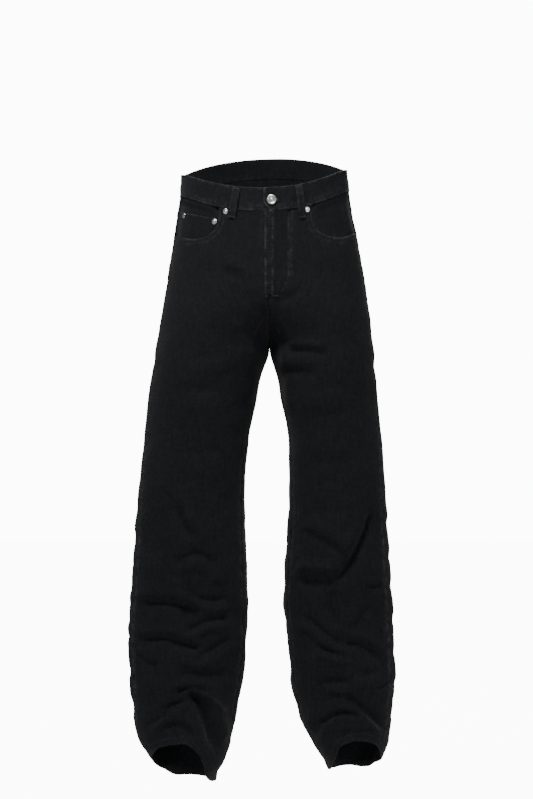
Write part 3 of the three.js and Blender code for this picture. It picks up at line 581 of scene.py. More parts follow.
def colour_between(nodes, share, low, high):
    """A colour from low to high, each three numbers or a socket."""
    low, high = ((*c, 1) if isinstance(c, tuple) else c for c in (low, high))
    made = nodes.add("ShaderNodeMix", {"Factor": share, "A": low, "B": high}, data_type="RGBA")
    return made.outputs["Result"]


def new_paint(name):
    paint = bpy.data.materials.new(name)
    paint.use_nodes = True
    return paint, Nodes(paint.node_tree)


TWILL_PITCH = 0.0011
BLACK_LOW = (0.0042, 0.0046, 0.0056)
BLACK_HIGH = (0.0090, 0.0096, 0.0112)
WORN_GREY = (0.034, 0.035, 0.038)
denim_paint, twill = new_paint("black_denim")
place = twill.add("ShaderNodeUVMap").outputs["UV"]
apart = twill.add("ShaderNodeSeparateXYZ", {0: place})
across = Value(twill, apart.outputs["X"])
up = Value(twill, apart.outputs["Y"])
# On the waistband this attribute is cut round the button, which paints a dark ring of shade there.
worn_at = Value(twill, twill.add("ShaderNodeAttribute", attribute_name="wear").outputs["Fac"])
cloudy = noise(twill, place, 9.0, 4.0)
mottle = noise(twill, place, 160.0)
slub = noise(twill, stretched(twill, place, (900, 22, 1)), 1.0, 2.0)
twist = (noise(twill, place, 260.0, 2.0) - 0.5) * 1.6
ribs = ((across * 0.74 + up * 0.67) * (2 * math.pi / TWILL_PITCH) + twist).sin()
streak = noise(twill, stretched(twill, place, (230, 30, 1)), 1.0)
blotch = noise(twill, place, 75.0)
patchy = noise(twill, place, 70.0)
uneven = (cloudy - 0.5) * 0.8 + (slub - 0.5) * 0.8 + (mottle - 0.5) * 0.9 + (streak - 0.5) * 1.1
uneven = uneven + (blotch - 0.5) * 0.35
dyed = colour_between(twill, (uneven + ribs * 0.06 + 0.42).clamp(), BLACK_LOW, BLACK_HIGH)
faded = (worn_at * ((mottle - 0.5) * 2.2 + (patchy - 0.5) * 2.6 + 0.42)).clamp()
relief = twill.add("ShaderNodeBump", {
    "Height": ribs * 0.5 + (slub - 0.5) * 1.2 + (mottle - 0.5) * 1.0,
    "Strength": 0.55,
    "Distance": 0.0003,
})
twill.fill(twill.named("Principled BSDF"), {
    "Base Color": colour_between(twill, faded, dyed, WORN_GREY),
    "Roughness": 0.9,
    "Specular IOR Level": 0.1,
    "Sheen Weight": 0.03,
    "Sheen Roughness": 0.5,
    "Normal": relief.outputs["Normal"],
})


# Cloth meshes
# A wall is made from a grid of outer points and one of inner points. Where a piece has a shaped edge,
# the points near it move onto it and the faces past it are left out.
MM = 0.001


def wall(name, outside, inside, uv, wear, keep=None):
    rows, columns = outside.shape[:2]
    count = rows * columns
    index = np.arange(count).reshape(rows, columns)
    quads = np.stack([index[:-1, :-1], index[:-1, 1:], index[1:, 1:], index[1:, :-1]], -1).reshape(-1, 4)
    if keep is not None:
        quads = quads[keep.reshape(-1)[quads].all(axis=1)]
    middle = outside.reshape(-1, 3)
    a, b, c, _d = (middle[quads[:, k]] for k in range(4))
    n = np.cross(b - a, c - a)
    away = (outside - inside).reshape(-1, 3)[quads[:, 0]]
    if (n * away).sum() < 0:
        quads = quads[:, ::-1]
    edges = np.concatenate([quads[:, [k, (k + 1) % 4]] for k in range(4)])
    key = edges.min(axis=1).astype(np.int64) * count + edges.max(axis=1)
    _, first, times = np.unique(key, return_index=True, return_counts=True)
    rim = edges[first[times == 1]]
    rim_quads = np.stack([rim[:, 1], rim[:, 0], rim[:, 0] + count, rim[:, 1] + count], -1)
    faces = np.concatenate([quads, quads[:, ::-1] + count, rim_quads])
    points = np.concatenate([middle, inside.reshape(-1, 3)]) * MM
    used = np.unique(faces)
    renumber = np.full(2 * count, -1)
    renumber[used] = np.arange(len(used))
    faces = renumber[faces]
    mesh = bpy.data.meshes.new(name)
    mesh.from_pydata(points[used].tolist(), [], faces.tolist())
    layer = mesh.uv_layers.new(name="UVMap")
    both = np.concatenate([uv.reshape(-1, 2)] * 2)[used] * MM
    loops = np.zeros(len(mesh.loops), dtype=np.int32)
    mesh.loops.foreach_get("vertex_index", loops)
    layer.data.foreach_set("uv", both[loops].ravel())
    both_wear = np.concatenate([wear.ravel(), wear.ravel() * 0.3])[used]
    mesh.attributes.new("wear", "FLOAT", "POINT").data.foreach_set("value", both_wear)
    mesh.polygons.foreach_set("use_smooth", np.ones(len(faces), dtype=bool))
    mesh.materials.append(denim_paint)
    piece = bpy.data.objects.new(name, mesh)
    bpy.context.collection.objects.link(piece)
    return piece


def grid_normals(points, outwards):
    round_it = np.gradient(points, axis=1)
    down = np.gradient(points, axis=0)
    n = np.cross(round_it, down)
    n /= np.maximum(np.linalg.norm(n, axis=-1, keepdims=True), 1e-9)
    return n if (n * outwards).sum() > 0 else -n


def distance_to(line, x, z, closed):
    """Distance to a line of (x, z) points, the nearest point, and which side it is on."""
    a = np.array(line, float)
    b = np.roll(a, -1, axis=0) if closed else a[1:]
    a = a if closed else a[:-1]
    shape = x.shape
    q = np.stack([x.ravel(), z.ravel()], -1)
    best = np.full(len(q), np.inf)
    near = np.zeros_like(q)
    sign = np.ones(len(q))
    for start, stop in zip(a, b):
        d = stop - start
        t = np.clip(((q - start) @ d) / (d @ d), 0, 1)
        foot = start + t[:, None] * d
        gap = np.hypot(*(q - foot).T)
        better = gap < best
        best[better] = gap[better]
        near[better] = foot[better]
        left_of = d[0] * (q[:, 1] - start[1]) - d[1] * (q[:, 0] - start[0])
        sign[better] = np.sign(left_of[better])
    return best.reshape(shape), near.reshape(*shape, 2), sign.reshape(shape)


def smooth_line(points, steps):
    """A curve through points, as a list of steps points."""
    p = np.array(points, float)
    at = np.concatenate([[0], np.cumsum(np.hypot(*np.diff(p, axis=0).T))])
    where = np.linspace(0, at[-1], steps)
    return np.stack([track(at, p[:, 0])(where), track(at, p[:, 1])(where)], -1)


STEP = 3.6
WALL = 1.2
FOOT_Z = -900  # below it the rows follow the hem


def rows_between(top, bottom):
    count = max(2, int(abs(top - bottom) / STEP))
    return mix(top, bottom, np.arange(count) / count)


def panel_grid(side, top, ends, columns):
    """Turns and heights of a leg panel's grid. The rows crowd where the rise seams turn under."""
    share = np.linspace(0, 1, columns)
    levels = np.concatenate([
        CROTCH_Z + (RISE_TOP_Z - CROTCH_Z) * np.linspace(1, 0, 46)[:-1] ** 2,
        rows_between(CROTCH_Z, FOOT_Z),
        [FOOT_Z],
    ])
    turn = np.zeros((0, columns))
    z = np.zeros((0, columns))

    def add(height):
        nonlocal turn, z
        level = np.full(columns, -200.0)
        for _ in range(4):
            first, last = ends(side, level)
            now = mix(first, last, share)
            level = height(now)
        turn = np.vstack([turn, now])
        z = np.vstack([z, level])

    top_rows = 28
    for k in range(top_rows):
        add(lambda now, k=k: mix(top(side, now), RISE_TOP_Z, k / top_rows))
    for level in levels[:-1]:
        add(lambda now, level=level: level + 0 * now)
    foot_rows = 36
    for k in range(foot_rows + 1):
        add(lambda now, k=k: mix(FOOT_Z, hem_line[side](in_turn(now)), k / foot_rows))
    return turn, z


def panel_uv(side, turn, z):
    half, _centre, _end = section(side, z)
    return np.stack([np.radians(turn) * half, z], -1)


def seam_wear(side, turn, z):
    """Where the dye has worn off: along the seams and at the hem."""
    half, _centre, end = section(side, z)
    bend = np.radians(1) * half
    from_side = np.abs(turn - side_seams[side](z)) * bend
    last = np.where(z > CROTCH_Z, end - np.abs(turn), inseam(z) - in_turn(turn))
    from_inner = np.abs(last) * bend
    from_hem = z - hem_line[side](in_turn(turn))
    wear = 0.4 * bell(from_side, 8) + 0.8 * bell(from_side, 3)
    inner = 0.3 * bell(from_inner, 6) + 0.4 * bell(from_inner - 1.5, 1.5)
    inner = inner + 0.3 * bell(from_inner - 8.4, 1.8)
    wear = wear + np.where(z > CROTCH_Z, 0.35, 1.0) * inner + 0.04
    return wear + 0.35 * bell(from_hem, 4) + 0.12 * bell(from_hem - 11, 2.5)


def hem_wall(side, turn, z):
    """The wall's thickness, doubled where the hem is turned up."""
    above = z - hem_line[side](in_turn(turn))
    return WALL + 1.1 * ease((14.5 - above) / 2.5)


# The panels lap a little at their seams, so no light comes through.
SEAM_LAP = 0.35
MIDDLE_LAP = 0.5


def lapped(side, points, z):
    """The points of a panel, where a left one reaches a little past the middle."""
    if side > 0:
        points[:, -1, 0] -= MIDDLE_LAP * (z[:, -1] > CROTCH_Z)
    return points


# Fronts cut out
# Each runs from the side seam to the middle seam and the inseam. The pocket opening is cut out of its
# upper outer corner along a scoop of (x, z) points, and its edge is turned in and a little thicker.
SCOOP = {
    -1: (
        (-86, -30), (-84, -57), (-86, -71), (-92.5, -83), (-105, -93), (-127, -98), (-154, -92),
        (-180, -84),
    ),
    1: (
        (73, -30), (75, -56), (78, -72), (87.5, -85), (103.6, -93), (125, -95), (141, -90),
        (155, -83), (180, -76),
    ),
}
NAMES = {-1: "right", 1: "left"}


def front_ends(side, z):
    _half, _centre, end = section(side, z)
    return side_seams[side](z), np.where(z > CROTCH_Z, end, inseam(z) + SEAM_LAP)


def back_ends(side, z):
    _half, _centre, end = section(side, z)
    return side_seams[side](z) + SEAM_LAP, np.where(z > CROTCH_Z, -end, inseam(z) - 360)


def waist_seam(side, turn):
    return waist_z(side, turn, BAND_HEIGHT - 4)


scoop_lines = {}
for side in (-1, 1):
    turn, z = panel_grid(side, waist_seam, front_ends, 64)
    edge = smooth_line(SCOOP[side], 90)
    scoop_lines[side] = edge
    x = plain(side, turn, z)[..., 0]
    near_top = z > -130
    gap = np.full(x.shape, 999.0)
    foot = np.zeros((*x.shape, 2))
    which = np.zeros(x.shape)
    gap[near_top], foot[near_top], which[near_top] = distance_to(edge, x[near_top], z[near_top], False)
    opened = which * side > 0
    snapped = near_top & (gap < 2.6)
    keep = ~(opened & near_top & ~snapped)
    z = np.where(snapped, np.minimum(foot[..., 1], waist_seam(side, turn)), z)
    moved = turn_at(side, foot[..., 0], z, 1)
    turn = np.where(snapped, np.maximum(moved, side_seams[side](z)), turn)
    p = cloth(side, turn, z)
    thick = np.where(near_top, bell(gap, 8), 0)
    n = grid_normals(p, facing(plain, side, turn, z))
    p = lapped(side, p + n * (0.5 * thick)[..., None], z)
    inner = p - n * (hem_wall(side, turn, z) + 0.3 * thick)[..., None]
    wear = seam_wear(side, turn, z) + 0.8 * np.where(near_top, bell(gap, 2.4), 0)
    wear = wear + 0.5 * np.where(near_top & (which * side < 0), bell(gap - 8.6, 1.8), 0)
    if side > 0:
        wear = wear + 0.6 * bell(x - 40.5, 1.6) * ease((z + 166) / 6) * ease((-46 - z) / 6)
    piece = wall(f"front_{NAMES[side]}_cloth", p, inner, panel_uv(side, turn, z), wear, keep)
    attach(piece, "root")
    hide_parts(f"front_{NAMES[side]}")

# Back panels and yokes
# The back panels run from the yoke seam to the hem, and the yokes fill the wedge up to the waistband.
# All are black twill. The yoke's lower edge is felled under the back's upper one.
YOKE_SIDE = 36
YOKE_MIDDLE = 76


def yoke_seam(side, turn):
    share = np.sin(np.radians(np.maximum(0, -turn)))
    return waist_z(side, turn, BAND_HEIGHT + mix(YOKE_SIDE, YOKE_MIDDLE, share))


def yoke_bulge(side, turn, z):
    """The felled seam stands up a little on the yoke's side and dips at its line."""
    away = z - yoke_seam(side, turn)
    return 0.6 * bell(away - 5, 4) - 0.8 * bell(away, 1.2), away


for side in (-1, 1):
    turn, z = panel_grid(side, yoke_seam, back_ends, 72)
    p = cloth(side, turn, z)
    n = grid_normals(p, facing(plain, side, turn, z))
    bulge, away = yoke_bulge(side, turn, z)
    p = lapped(side, p + n * (bulge + 0.3 * pucker(away, turn * 1.7, 4.0))[..., None], z)
    inner = p - n * hem_wall(side, turn, z)[..., None]
    wear = seam_wear(side, turn, z) + 0.45 * bell(away, 4)
    piece = wall(f"back_{NAMES[side]}_cloth", p, inner, panel_uv(side, turn, z), wear)
    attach(piece, "root")
    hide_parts(f"back_{NAMES[side]}")

    columns = 60
    share = np.linspace(0, 1, columns)
    seam_row = 23
    turn = np.zeros((seam_row + 2, columns))
    z = np.zeros((seam_row + 2, columns))
    for row in range(seam_row + 2):
        level = np.full(columns, -20.0)
        for _ in range(4):
            first, last = back_ends(side, level)
            turn[row] = mix(first, last, share)
            down = min(row, seam_row) / seam_row
            level = mix(waist_seam(side, turn[row]), yoke_seam(side, turn[row]), down)
            level = level - 1.6 * (row > seam_row)
        z[row] = level
    p = cloth(side, turn, z)
    n = grid_normals(p, facing(plain, side, turn, z))
    bulge, away = yoke_bulge(side, turn, z)
    bulge[-1] -= 0.7  # the last row tucks in under the back
    p = lapped(side, p + n * (bulge + 0.3 * pucker(away, turn * 1.7, 4.0))[..., None], z)
    wear = seam_wear(side, turn, z) + 0.45 * bell(away, 4)
    piece = wall(f"yoke_{NAMES[side]}_cloth", p, p - n * WALL, panel_uv(side, turn, z), wear)
    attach(piece, "root")
    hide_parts(f"yoke_{NAMES[side]}")

# Waistband
# One strip of twill, folded along its top and sewn over the panels' upper edges. It starts at the tab,
# runs round the left side and the back and ends as the underlap behind the tab, a layer lower.
BAND_OUT = 1.1
BAND_IN = -1.9
LAP_STEP = 1.35
TAB_END_X = -7.8
TAB_RAMP_X = (33, 46)
UNDERLAP_X = 31
UNDERLAP_RAMP_X = (-30, -10)
BUTTON_PLACE = (6.2, -32.6)
BUTTONHOLE = {"x": 7.1, "reach": 9.0, "half": 1.3}


def around_at(x, z):
    """Degrees round the waist from the front middle, positive to the left side, of a place in front."""
    side = -1 if x < 0 else 1
    return float(side * (90 - turn_at(side, x, np.array(z, float), 1)))


def round_waist(around, below, out):
    """Points round the waist, so far below its top and out from the cloth, and the normals."""
    around, below, out = np.broadcast_arrays(np.asarray(around, float), below, out)
    wrapped = (around + 180) % 360 - 180
    points = np.zeros((*around.shape, 3))
    normals = np.zeros((*around.shape, 3))
    for side in (-1, 1):
        mine = wrapped < 0 if side < 0 else wrapped >= 0
        if mine.any():
            turn = 90 - np.abs(wrapped[mine])
            z = waist_z(side, turn, below[mine])
            points[mine], normals[mine] = raised(side, turn, z, out[mine], unsewn)
    return points, normals


def rolled(away, reach=1.1):
    """How far a folded edge rounds away at a distance from its line."""
    return reach * (1 - np.sqrt(1 - np.clip(1 - away / reach, 0, 1) ** 2))


def band_face(around):
    tab = [around_at(x, -12) for x in TAB_RAMP_X]
    under = [360 + around_at(x, -12) for x in UNDERLAP_RAMP_X]
    over = 1 - ease((around - tab[0]) / (tab[1] - tab[0]))
    below = ease((around - under[0]) / (under[1] - under[0]))
    return BAND_OUT + LAP_STEP * (over - below)


band_start = around_at(TAB_END_X, -12)
band_end = 360 + around_at(UNDERLAP_X, -12)
DEGREE = 2.62  # millimetres of waist to a degree round it
tip_steps = np.array([0, 0.35, 0.8, 1.4, 2.2, 3.2, 4.6]) / DEGREE
middle_steps = np.linspace(band_start + 2.4, band_end - 2.4, 300)
around = np.concatenate([band_start + tip_steps, middle_steps, band_end - tip_steps[::-1]])
edge_rows = np.array([0, 0.3, 0.7, 1.2, 1.8, 2.4, 2.8, 3.2, 3.8, 4.8])
middle_rows = np.linspace(6.5, BAND_HEIGHT - 6.5, 12)
below = np.concatenate([edge_rows, middle_rows, BAND_HEIGHT - edge_rows[::-1]])
round_to, down_by = np.meshgrid(around, below)
from_edge = np.minimum(down_by, BAND_HEIGHT - down_by)
from_tip = np.minimum(round_to - band_start, band_end - round_to) * DEGREE
at_tab = bell((round_to - band_start) * DEGREE, 11)
round_to = round_to + at_tab * 6.5 * ease((down_by - 22) / 16) / DEGREE
run = round_to * DEGREE
groove = -0.28 * bell(from_edge - 3, 0.7) - 0.28 * bell(from_tip - 3, 0.7)
plump = 0.35 * bell(from_edge - 1.4, 1.0)
rope = 0.16 * pucker(from_edge - 3, run + down_by * 0.8, 6.0)
edge_fall = rolled(from_edge) + rolled(from_tip)
laid, upright = round_waist(round_to, down_by, band_face(round_to))
place_x = laid[..., 0]
place_z = laid[..., 2]
laid[..., 2] -= at_tab * 2.2 * down_by / BAND_HEIGHT
from_button = np.hypot(place_x - BUTTON_PLACE[0], place_z - BUTTON_PLACE[1])
from_button = np.where(round_to < 90, from_button, 99.0)
on_tab = (round_to < band_start + 14) * 1.0
hole_run = np.maximum(np.abs(place_x - BUTTONHOLE["x"]) - BUTTONHOLE["reach"], 0)
hole_gap = np.hypot(hole_run, place_z - BUTTON_PLACE[1])
lip = 0.5 * bell(hole_gap - 2.2, 1.1) - 1.5 * bell(hole_gap, BUTTONHOLE["half"])
dip = 0.8 * bell(from_button - 9.5, 2)
outside = laid + upright * (groove + plump + rope - edge_fall - dip + on_tab * lip)[..., None]
inside = laid - upright * ((BAND_OUT - BAND_IN) - 0.7 * edge_fall - 0.1 * groove)[..., None]
band_wear_and_button_shade = 0.8 * bell(from_edge, 1.8) + 0.25 * bell(from_edge - 3, 1.2)
band_wear_and_button_shade = band_wear_and_button_shade + 0.28 * bell(BAND_HEIGHT - 7 - down_by, 5) + 0.06
band_wear_and_button_shade = band_wear_and_button_shade + 2.0 * bell(from_tip, 2.4)
# Round the button the wear is cut away. Under its head the cloth is covered, and the dark ring just outside
# the head is painted shade.
band_wear_and_button_shade = band_wear_and_button_shade * (1 - 0.9 * np.exp(-((from_button / 11.5) ** 6)))
band_uv = np.stack([run, down_by], -1)
band_piece = wall("waistband_cloth", outside, inside, band_uv, band_wear_and_button_shade)
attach(band_piece, "root")
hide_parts("waistband")

# Belt loops
# Narrow folded strips of twill that bow out over the waistband and are turned under and tacked at
# both ends. The front ones lean a little.
LOOP_WIDTH = 12.5
LOOP_WALL = 1.9
LOOP_DEGREE = 2.55
# Degrees round from the front middle, reach below the waistband, lean at the foot
LOOPS = {
    "belt_loop_front_right": (-17.7, 15, -6),
    "belt_loop_front_left": (18.8, 19, 4.5),
    "belt_loop_side_right": (-104, 12, 0),
    "belt_loop_side_left": (104, 12, 0),
    "belt_loop_back": (180, 12, 0),
}


def loop_points(name, across, down, extra):
    """Points of a loop: across in millimetres from its middle, down from 0 to 1."""
    place, under, drift = LOOPS[name]
    at_side = 60 <= abs(place) <= 150
    turn_step = (place + drift * down / LOOP_DEGREE) + across / (2.15 if at_side else LOOP_DEGREE)
    height = 1 + down * (BAND_HEIGHT + under - 1)
    bow = np.sin(math.pi * np.clip((down - 0.06) / 0.88, 0, 1)) ** 0.7
    settle = ease((down - 0.78) / 0.2) * 0.9
    return round_waist(turn_step, height, BAND_OUT + 0.25 + 3 * bow - settle + extra)


loop_pieces = []
for name in LOOPS:
    half = LOOP_WIDTH / 2
    right_steps = np.array([2, 3.4, 4.2, 4.9, 5.4, 5.75, 6.0])
    across_steps = np.concatenate([-right_steps[::-1], [0], right_steps])
    down_steps = np.concatenate([
        [0, 0.006, 0.015, 0.03, 0.05], np.linspace(0.08, 0.92, 26), [0.95, 0.97, 0.985, 0.994, 1]
    ])
    off_middle, down_share = np.meshgrid(across_steps, down_steps)
    length = BAND_HEIGHT + LOOPS[name][1]
    from_end = np.minimum(down_share, 1 - down_share) * length
    fall = rolled(half - np.abs(off_middle), 0.9) + rolled(from_end, 0.9)
    seam = -0.22 * bell(half - np.abs(off_middle) - 2.4, 0.6)
    middle_ridge = 0.25 * bell(off_middle, 2.0)
    tack = -0.25 * bell(from_end - 3.0, 1.4)
    ripple = 0.12 * np.sin(down_share * length / 2.6 + off_middle)
    raise_by = LOOP_WALL + seam + middle_ridge + tack + ripple - fall
    outside, n = loop_points(name, off_middle, down_share, raise_by)
    inside, n = loop_points(name, off_middle, down_share, 0.6 * fall)
    wear = bell(half - np.abs(off_middle), 1.5) + 0.5 * bell(from_end, 2.5)
    wear = wear + 0.3 * bell(off_middle, 1.5) + 0.12
    uv = np.stack([off_middle + 40 * len(loop_pieces), down_share * length], -1)
    piece = wall(f"{name}_cloth", outside, inside, uv, wear)
    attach(piece, "root")
    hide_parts(name)
    loop_pieces.append(piece)

# Pocket facings and coin pocket
# Plain twill that shows through the pocket openings. A facing rises to meet the waistband and the back
# at the side seam. The coin pocket is sewn on the right one, with its upper edge turned in.
FACING_INNER_X = 52.0
FACING_FOOT_Z = -126.0
for side in (-1, 1):
    level = -3.4 if side < 0 else -1.9  # the right one lies deeper, under the coin pocket
    rows = 40
    columns = 70
    u = np.linspace(0, 1, columns)
    turn = np.zeros((rows, columns))
    z = np.zeros((rows, columns))
    for row in range(rows):
        height = np.full(columns, -60.0)
        for _ in range(4):
            first = turn_at(side, np.full(columns, side * FACING_INNER_X), height, 1)
            turn[row] = mix(first, side_seams[side](height), u)
            height = mix(waist_seam(side, turn[row]), FACING_FOOT_Z, row / (rows - 1))
        z[row] = height
    x = plain(side, turn, z)[..., 0]
    gap, _foot, which = distance_to(scoop_lines[side], x, z, False)
    half, _centre, _end = section(side, z)
    from_side = (turn - side_seams[side](z)) * np.radians(1) * half
    from_band = waist_seam(side, turn) - z
    lift = np.maximum(ease((9 - from_side) / 9), ease((19 - from_band) / 12))
    lift = lift * np.where(which * side > 0, ease((gap - 3) / 12), 0)
    p, n = raised(side, turn, z, mix(level, -0.15, lift))
    wear = 0.2 * bell(gap, 6) + 0.3 * bell(from_side, 3)
    piece = wall(f"pocket_facing_{NAMES[side]}_cloth", p, p - n * 1.1, panel_uv(side, turn, z), wear)
    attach(piece, "root")
    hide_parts(f"pocket_facing_{NAMES[side]}")

# The coin pocket's outline is (x, z) seen from the front. Its grid is laid in distances along the
# cloth from the middle, so it keeps its cut size where the hip turns away.
COIN_LEVEL = -140.0
ARC_TURNS = np.linspace(0, 110, 441)
ring = plain(-1, ARC_TURNS, np.array(COIN_LEVEL))
run = np.concatenate([[0], np.cumsum(np.hypot(*np.diff(ring[:, :2], axis=0).T))])
FRONT_ARC = np.interp(90, ARC_TURNS, run) - run


def arc_of(x, z):
    turn = np.abs(turn_at(-1, np.asarray(x, float), np.asarray(z, float), 1))
    return np.interp(turn, ARC_TURNS, FRONT_ARC)


def on_right_front(arc, z, out):
    """Points and normals above the right front, from the run round it and the height."""
    turn = np.interp(arc, FRONT_ARC[::-1], ARC_TURNS[::-1])
    return raised(-1, turn, np.asarray(z, float), out, unsewn)


def crowded(count):
    """Steps from 0 to 1 that are closest at both ends."""
    t = np.linspace(0, 1, count)
    even = 0.5 - 0.5 * np.cos(math.pi * t)
    return mix(t, even, 0.75)


def ruled(top, bottom, rows, columns):
    """A grid between two lines of points, each given as a function of 0 to 1."""
    u = crowded(columns)
    v = crowded(rows)
    a = top(u)
    b = bottom(u)
    return a[None] + (b - a)[None] * v[:, None, None]


def edge_gap(grid):
    """How far each point of a grid is from the outline of the grid."""
    outline = np.concatenate([grid[0], grid[1:, -1], grid[-1, -2::-1], grid[-2:0:-1, 0]])
    gap, _foot, _sign = distance_to(outline, grid[..., 0], grid[..., 1], True)
    return gap


def straight(points):
    """A line with corners, as a function of 0 to 1 along its length."""
    p = np.array(points, float)
    at = np.concatenate([[0], np.cumsum(np.hypot(*np.diff(p, axis=0).T))])
    at /= at[-1]
    return lambda share: np.stack([np.interp(share, at, p[:, 0]), np.interp(share, at, p[:, 1])], -1)


COIN_POCKET = ((-153, -46.5), (-76, -67), (-78, -120), (-150, -120))
coin_corner = [(float(arc_of(x, z)), z) for x, z in COIN_POCKET]
grid = ruled(straight(coin_corner[:2]), straight(coin_corner[:1:-1]), 40, 46)
gap = edge_gap(grid)
from_top, _foot, _sign = distance_to(coin_corner[:2], grid[..., 0], grid[..., 1], False)
groove = -0.25 * bell(from_top - 2.2, 0.7) - 0.3 * bell(from_top - 9, 0.8)
hem_fold = 0.7 * ease((11 - from_top) / 2.5)
bow = 0.8 * np.sin(math.pi * np.linspace(0, 1, 46))[None] * bell(from_top, 16)
p, n = on_right_front(grid[..., 0], grid[..., 1], -2.0 + groove + hem_fold + bow - rolled(gap, 0.9))
coin_wear = 0.8 * bell(from_top, 1.6) + 0.35 * bell(gap, 1.6)
coin = wall("coin_pocket_cloth", p, p - n * (1.1 + hem_fold)[..., None], grid + 300, coin_wear)
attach(coin, "root")
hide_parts("coin_pocket")

# Fly placket
# A layer of twill over the zip and the middle seam. Its free edge is folded and stands out, and its
# stitched edge, the J, sinks into the left front so that only its stitches show.
FLY_EDGE_X = -6
FLY_INNER_X = 39.4
FLY_TURN_Z = -158
FLY_BOTTOM_Z = -200
FLY_FOOT_X = 5


def front_points(x, z, out, form=cloth):
    """Points on the front from both halves, and their normals."""
    x, z, out = np.broadcast_arrays(np.asarray(x, float), z, out)
    points = np.zeros((*x.shape, 3))
    normals = np.zeros((*x.shape, 3))
    for side in (-1, 1):
        mine = x < 0 if side < 0 else x >= 0
        if mine.any():
            turn = turn_at(side, x[mine], z[mine], 1)
            points[mine], normals[mine] = raised(side, turn, z[mine], out[mine], form)
    return points, normals


def j_line(z, inset=0.0):
    """The x of the J at each height, moved in from the placket's stitched edge."""
    deep = FLY_TURN_Z - FLY_BOTTOM_Z - inset
    share = np.clip((FLY_TURN_Z - z) / deep, 0, 1)
    return mix(FLY_FOOT_X, FLY_INNER_X - inset, np.sqrt(1 - share**2))


fall_of = 1 - (1 - np.linspace(0, 1, 34)) ** 2
z_rows = np.concatenate([np.linspace(-46, FLY_TURN_Z, 44)[:-1], mix(FLY_TURN_Z, FLY_BOTTOM_Z, fall_of)])
width_steps = np.concatenate([[0, 0.008, 0.02, 0.04, 0.06], np.linspace(0.09, 0.94, 24), [0.97, 1]])
z_grid = np.repeat(z_rows[:, None], len(width_steps), axis=1)
top_z = waist_z(1, np.full(z_grid.shape, 84.0), BAND_HEIGHT - 3)
z_grid = mix(top_z, z_grid, np.clip(np.arange(len(z_rows)) / 6, 0, 1)[:, None])
inner = j_line(z_grid)
x_grid = mix(FLY_EDGE_X, inner, width_steps[None])
from_free = x_grid - FLY_EDGE_X
from_foot = z_grid - FLY_BOTTOM_Z
into = inner - x_grid
stand = mix(-0.5, 1.45, ease(into / 9)) * mix(0.25, 1, ease(from_foot / 8))
groove = -0.3 * bell(from_free - 3.3, 0.8) - 0.22 * bell(from_free - 12.8, 0.9)
zip_ridge = 0.9 * bell(x_grid - 9, 2.8) + 0.4 * bell(x_grid - 20, 5)
zip_ridge = zip_ridge - 0.7 * bell(z_grid + 173 + x_grid / 9, 1.4) * ease((into - 2) / 4)
rungs = np.sin(2 * math.pi * (z_grid + 1.5 * np.sin(z_grid / 13)) / 5.6 + x_grid / 9)
between = ease(from_free / 2) * ease((14.5 - from_free) / 3)
wavy = 0.35 * np.sin(z_grid / 17) * bell(from_free, 5) + 0.34 * rungs * between
wavy = wavy + 0.2 * np.sin(2 * math.pi * z_grid / 4.7 + x_grid / 4) * bell(into - 3, 4)
out = stand + (groove + zip_ridge) * ease(into / 9) + wavy - rolled(from_free, 1.1)
p, n = front_points(x_grid, z_grid, out)
fly_wear = 1.0 * bell(from_free - 0.8, 1.5) + 0.8 * bell(x_grid - 8, 1.5)
fly_wear = fly_wear + between * np.clip(0.2 + 0.6 * rungs, 0, 1) * 0.5 + 0.7 * bell(into - 4, 2)
fly = wall("fly_placket_cloth", p, p - n * 1.2, np.stack([x_grid + 500, z_grid], -1), fly_wear)
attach(fly, "root")
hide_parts("fly_placket")

# Back pockets
# Bare twill patches with turned-in edges, sewn on round three sides to a pointed foot. The hemmed mouth
# stands a little open.
def on_back(side, x, z, out):
    """Points and normals so far above a back panel, where x is away from the middle."""
    return raised(side, turn_at(side, side * x, z, -1), z, out, unsewn)


# Corners as x from the middle and z, the mouth first
BACK_POCKET = ((27, -75), (137, -81), (131, -213), (84, -234), (33, -208))
for side in (-1, 1):
    grid = ruled(straight(BACK_POCKET[:2]), straight(BACK_POCKET[:1:-1]), 70, 60)
    gap = edge_gap(grid)
    from_top, _foot, _sign = distance_to(BACK_POCKET[:2], grid[..., 0], grid[..., 1], False)
    mouth = bell(from_top, 20) * np.sin(math.pi * np.linspace(0, 1, 60))[None]
    seams = -0.28 * bell(gap - 2, 0.7) - 0.2 * bell(gap - 8, 0.8)
    hems = 0.6 * ease((15 - from_top) / 2.5)
    waver = 0.3 * np.sin(grid[..., 1] / 17 + grid[..., 0] / 23 + side)
    out = 1.7 + hems + seams + waver + 1.6 * mouth + 0.25 * pucker(gap - 5, grid.sum(-1), 7.0) - rolled(gap)
    p, n = on_back(side, grid[..., 0], grid[..., 1], out)
    wear = 0.8 * bell(gap, 1.8) + 0.3 * bell(gap - 5, 2.5) + 0.15 * mouth
    depth = 1.2 + 0.9 * hems
    piece = wall(f"back_pocket_{NAMES[side]}_cloth", p, p - n * depth[..., None], grid + 700, wear)
    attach(piece, "root")
    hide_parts(f"back_pocket_{NAMES[side]}")

# Button and rivets
# The button is a stamped nickel head on a shank, dished, with a rolled rim. The rivets are domed studs
# that clinch the pocket corners. All have plain faces.
metal_paint, nickel = new_paint("satin_nickel")
NICKEL = (0.78, 0.77, 0.75)
spots = noise(nickel, nickel.add("ShaderNodeTexCoord").outputs["Object"], 900.0)
nickel.fill(nickel.named("Principled BSDF"), {
    "Base Color": colour_between(nickel, spots, tuple(c * 0.86 for c in NICKEL), NICKEL),
    "Metallic": 1.0,
    "Roughness": spots * 0.14 + 0.23,
})


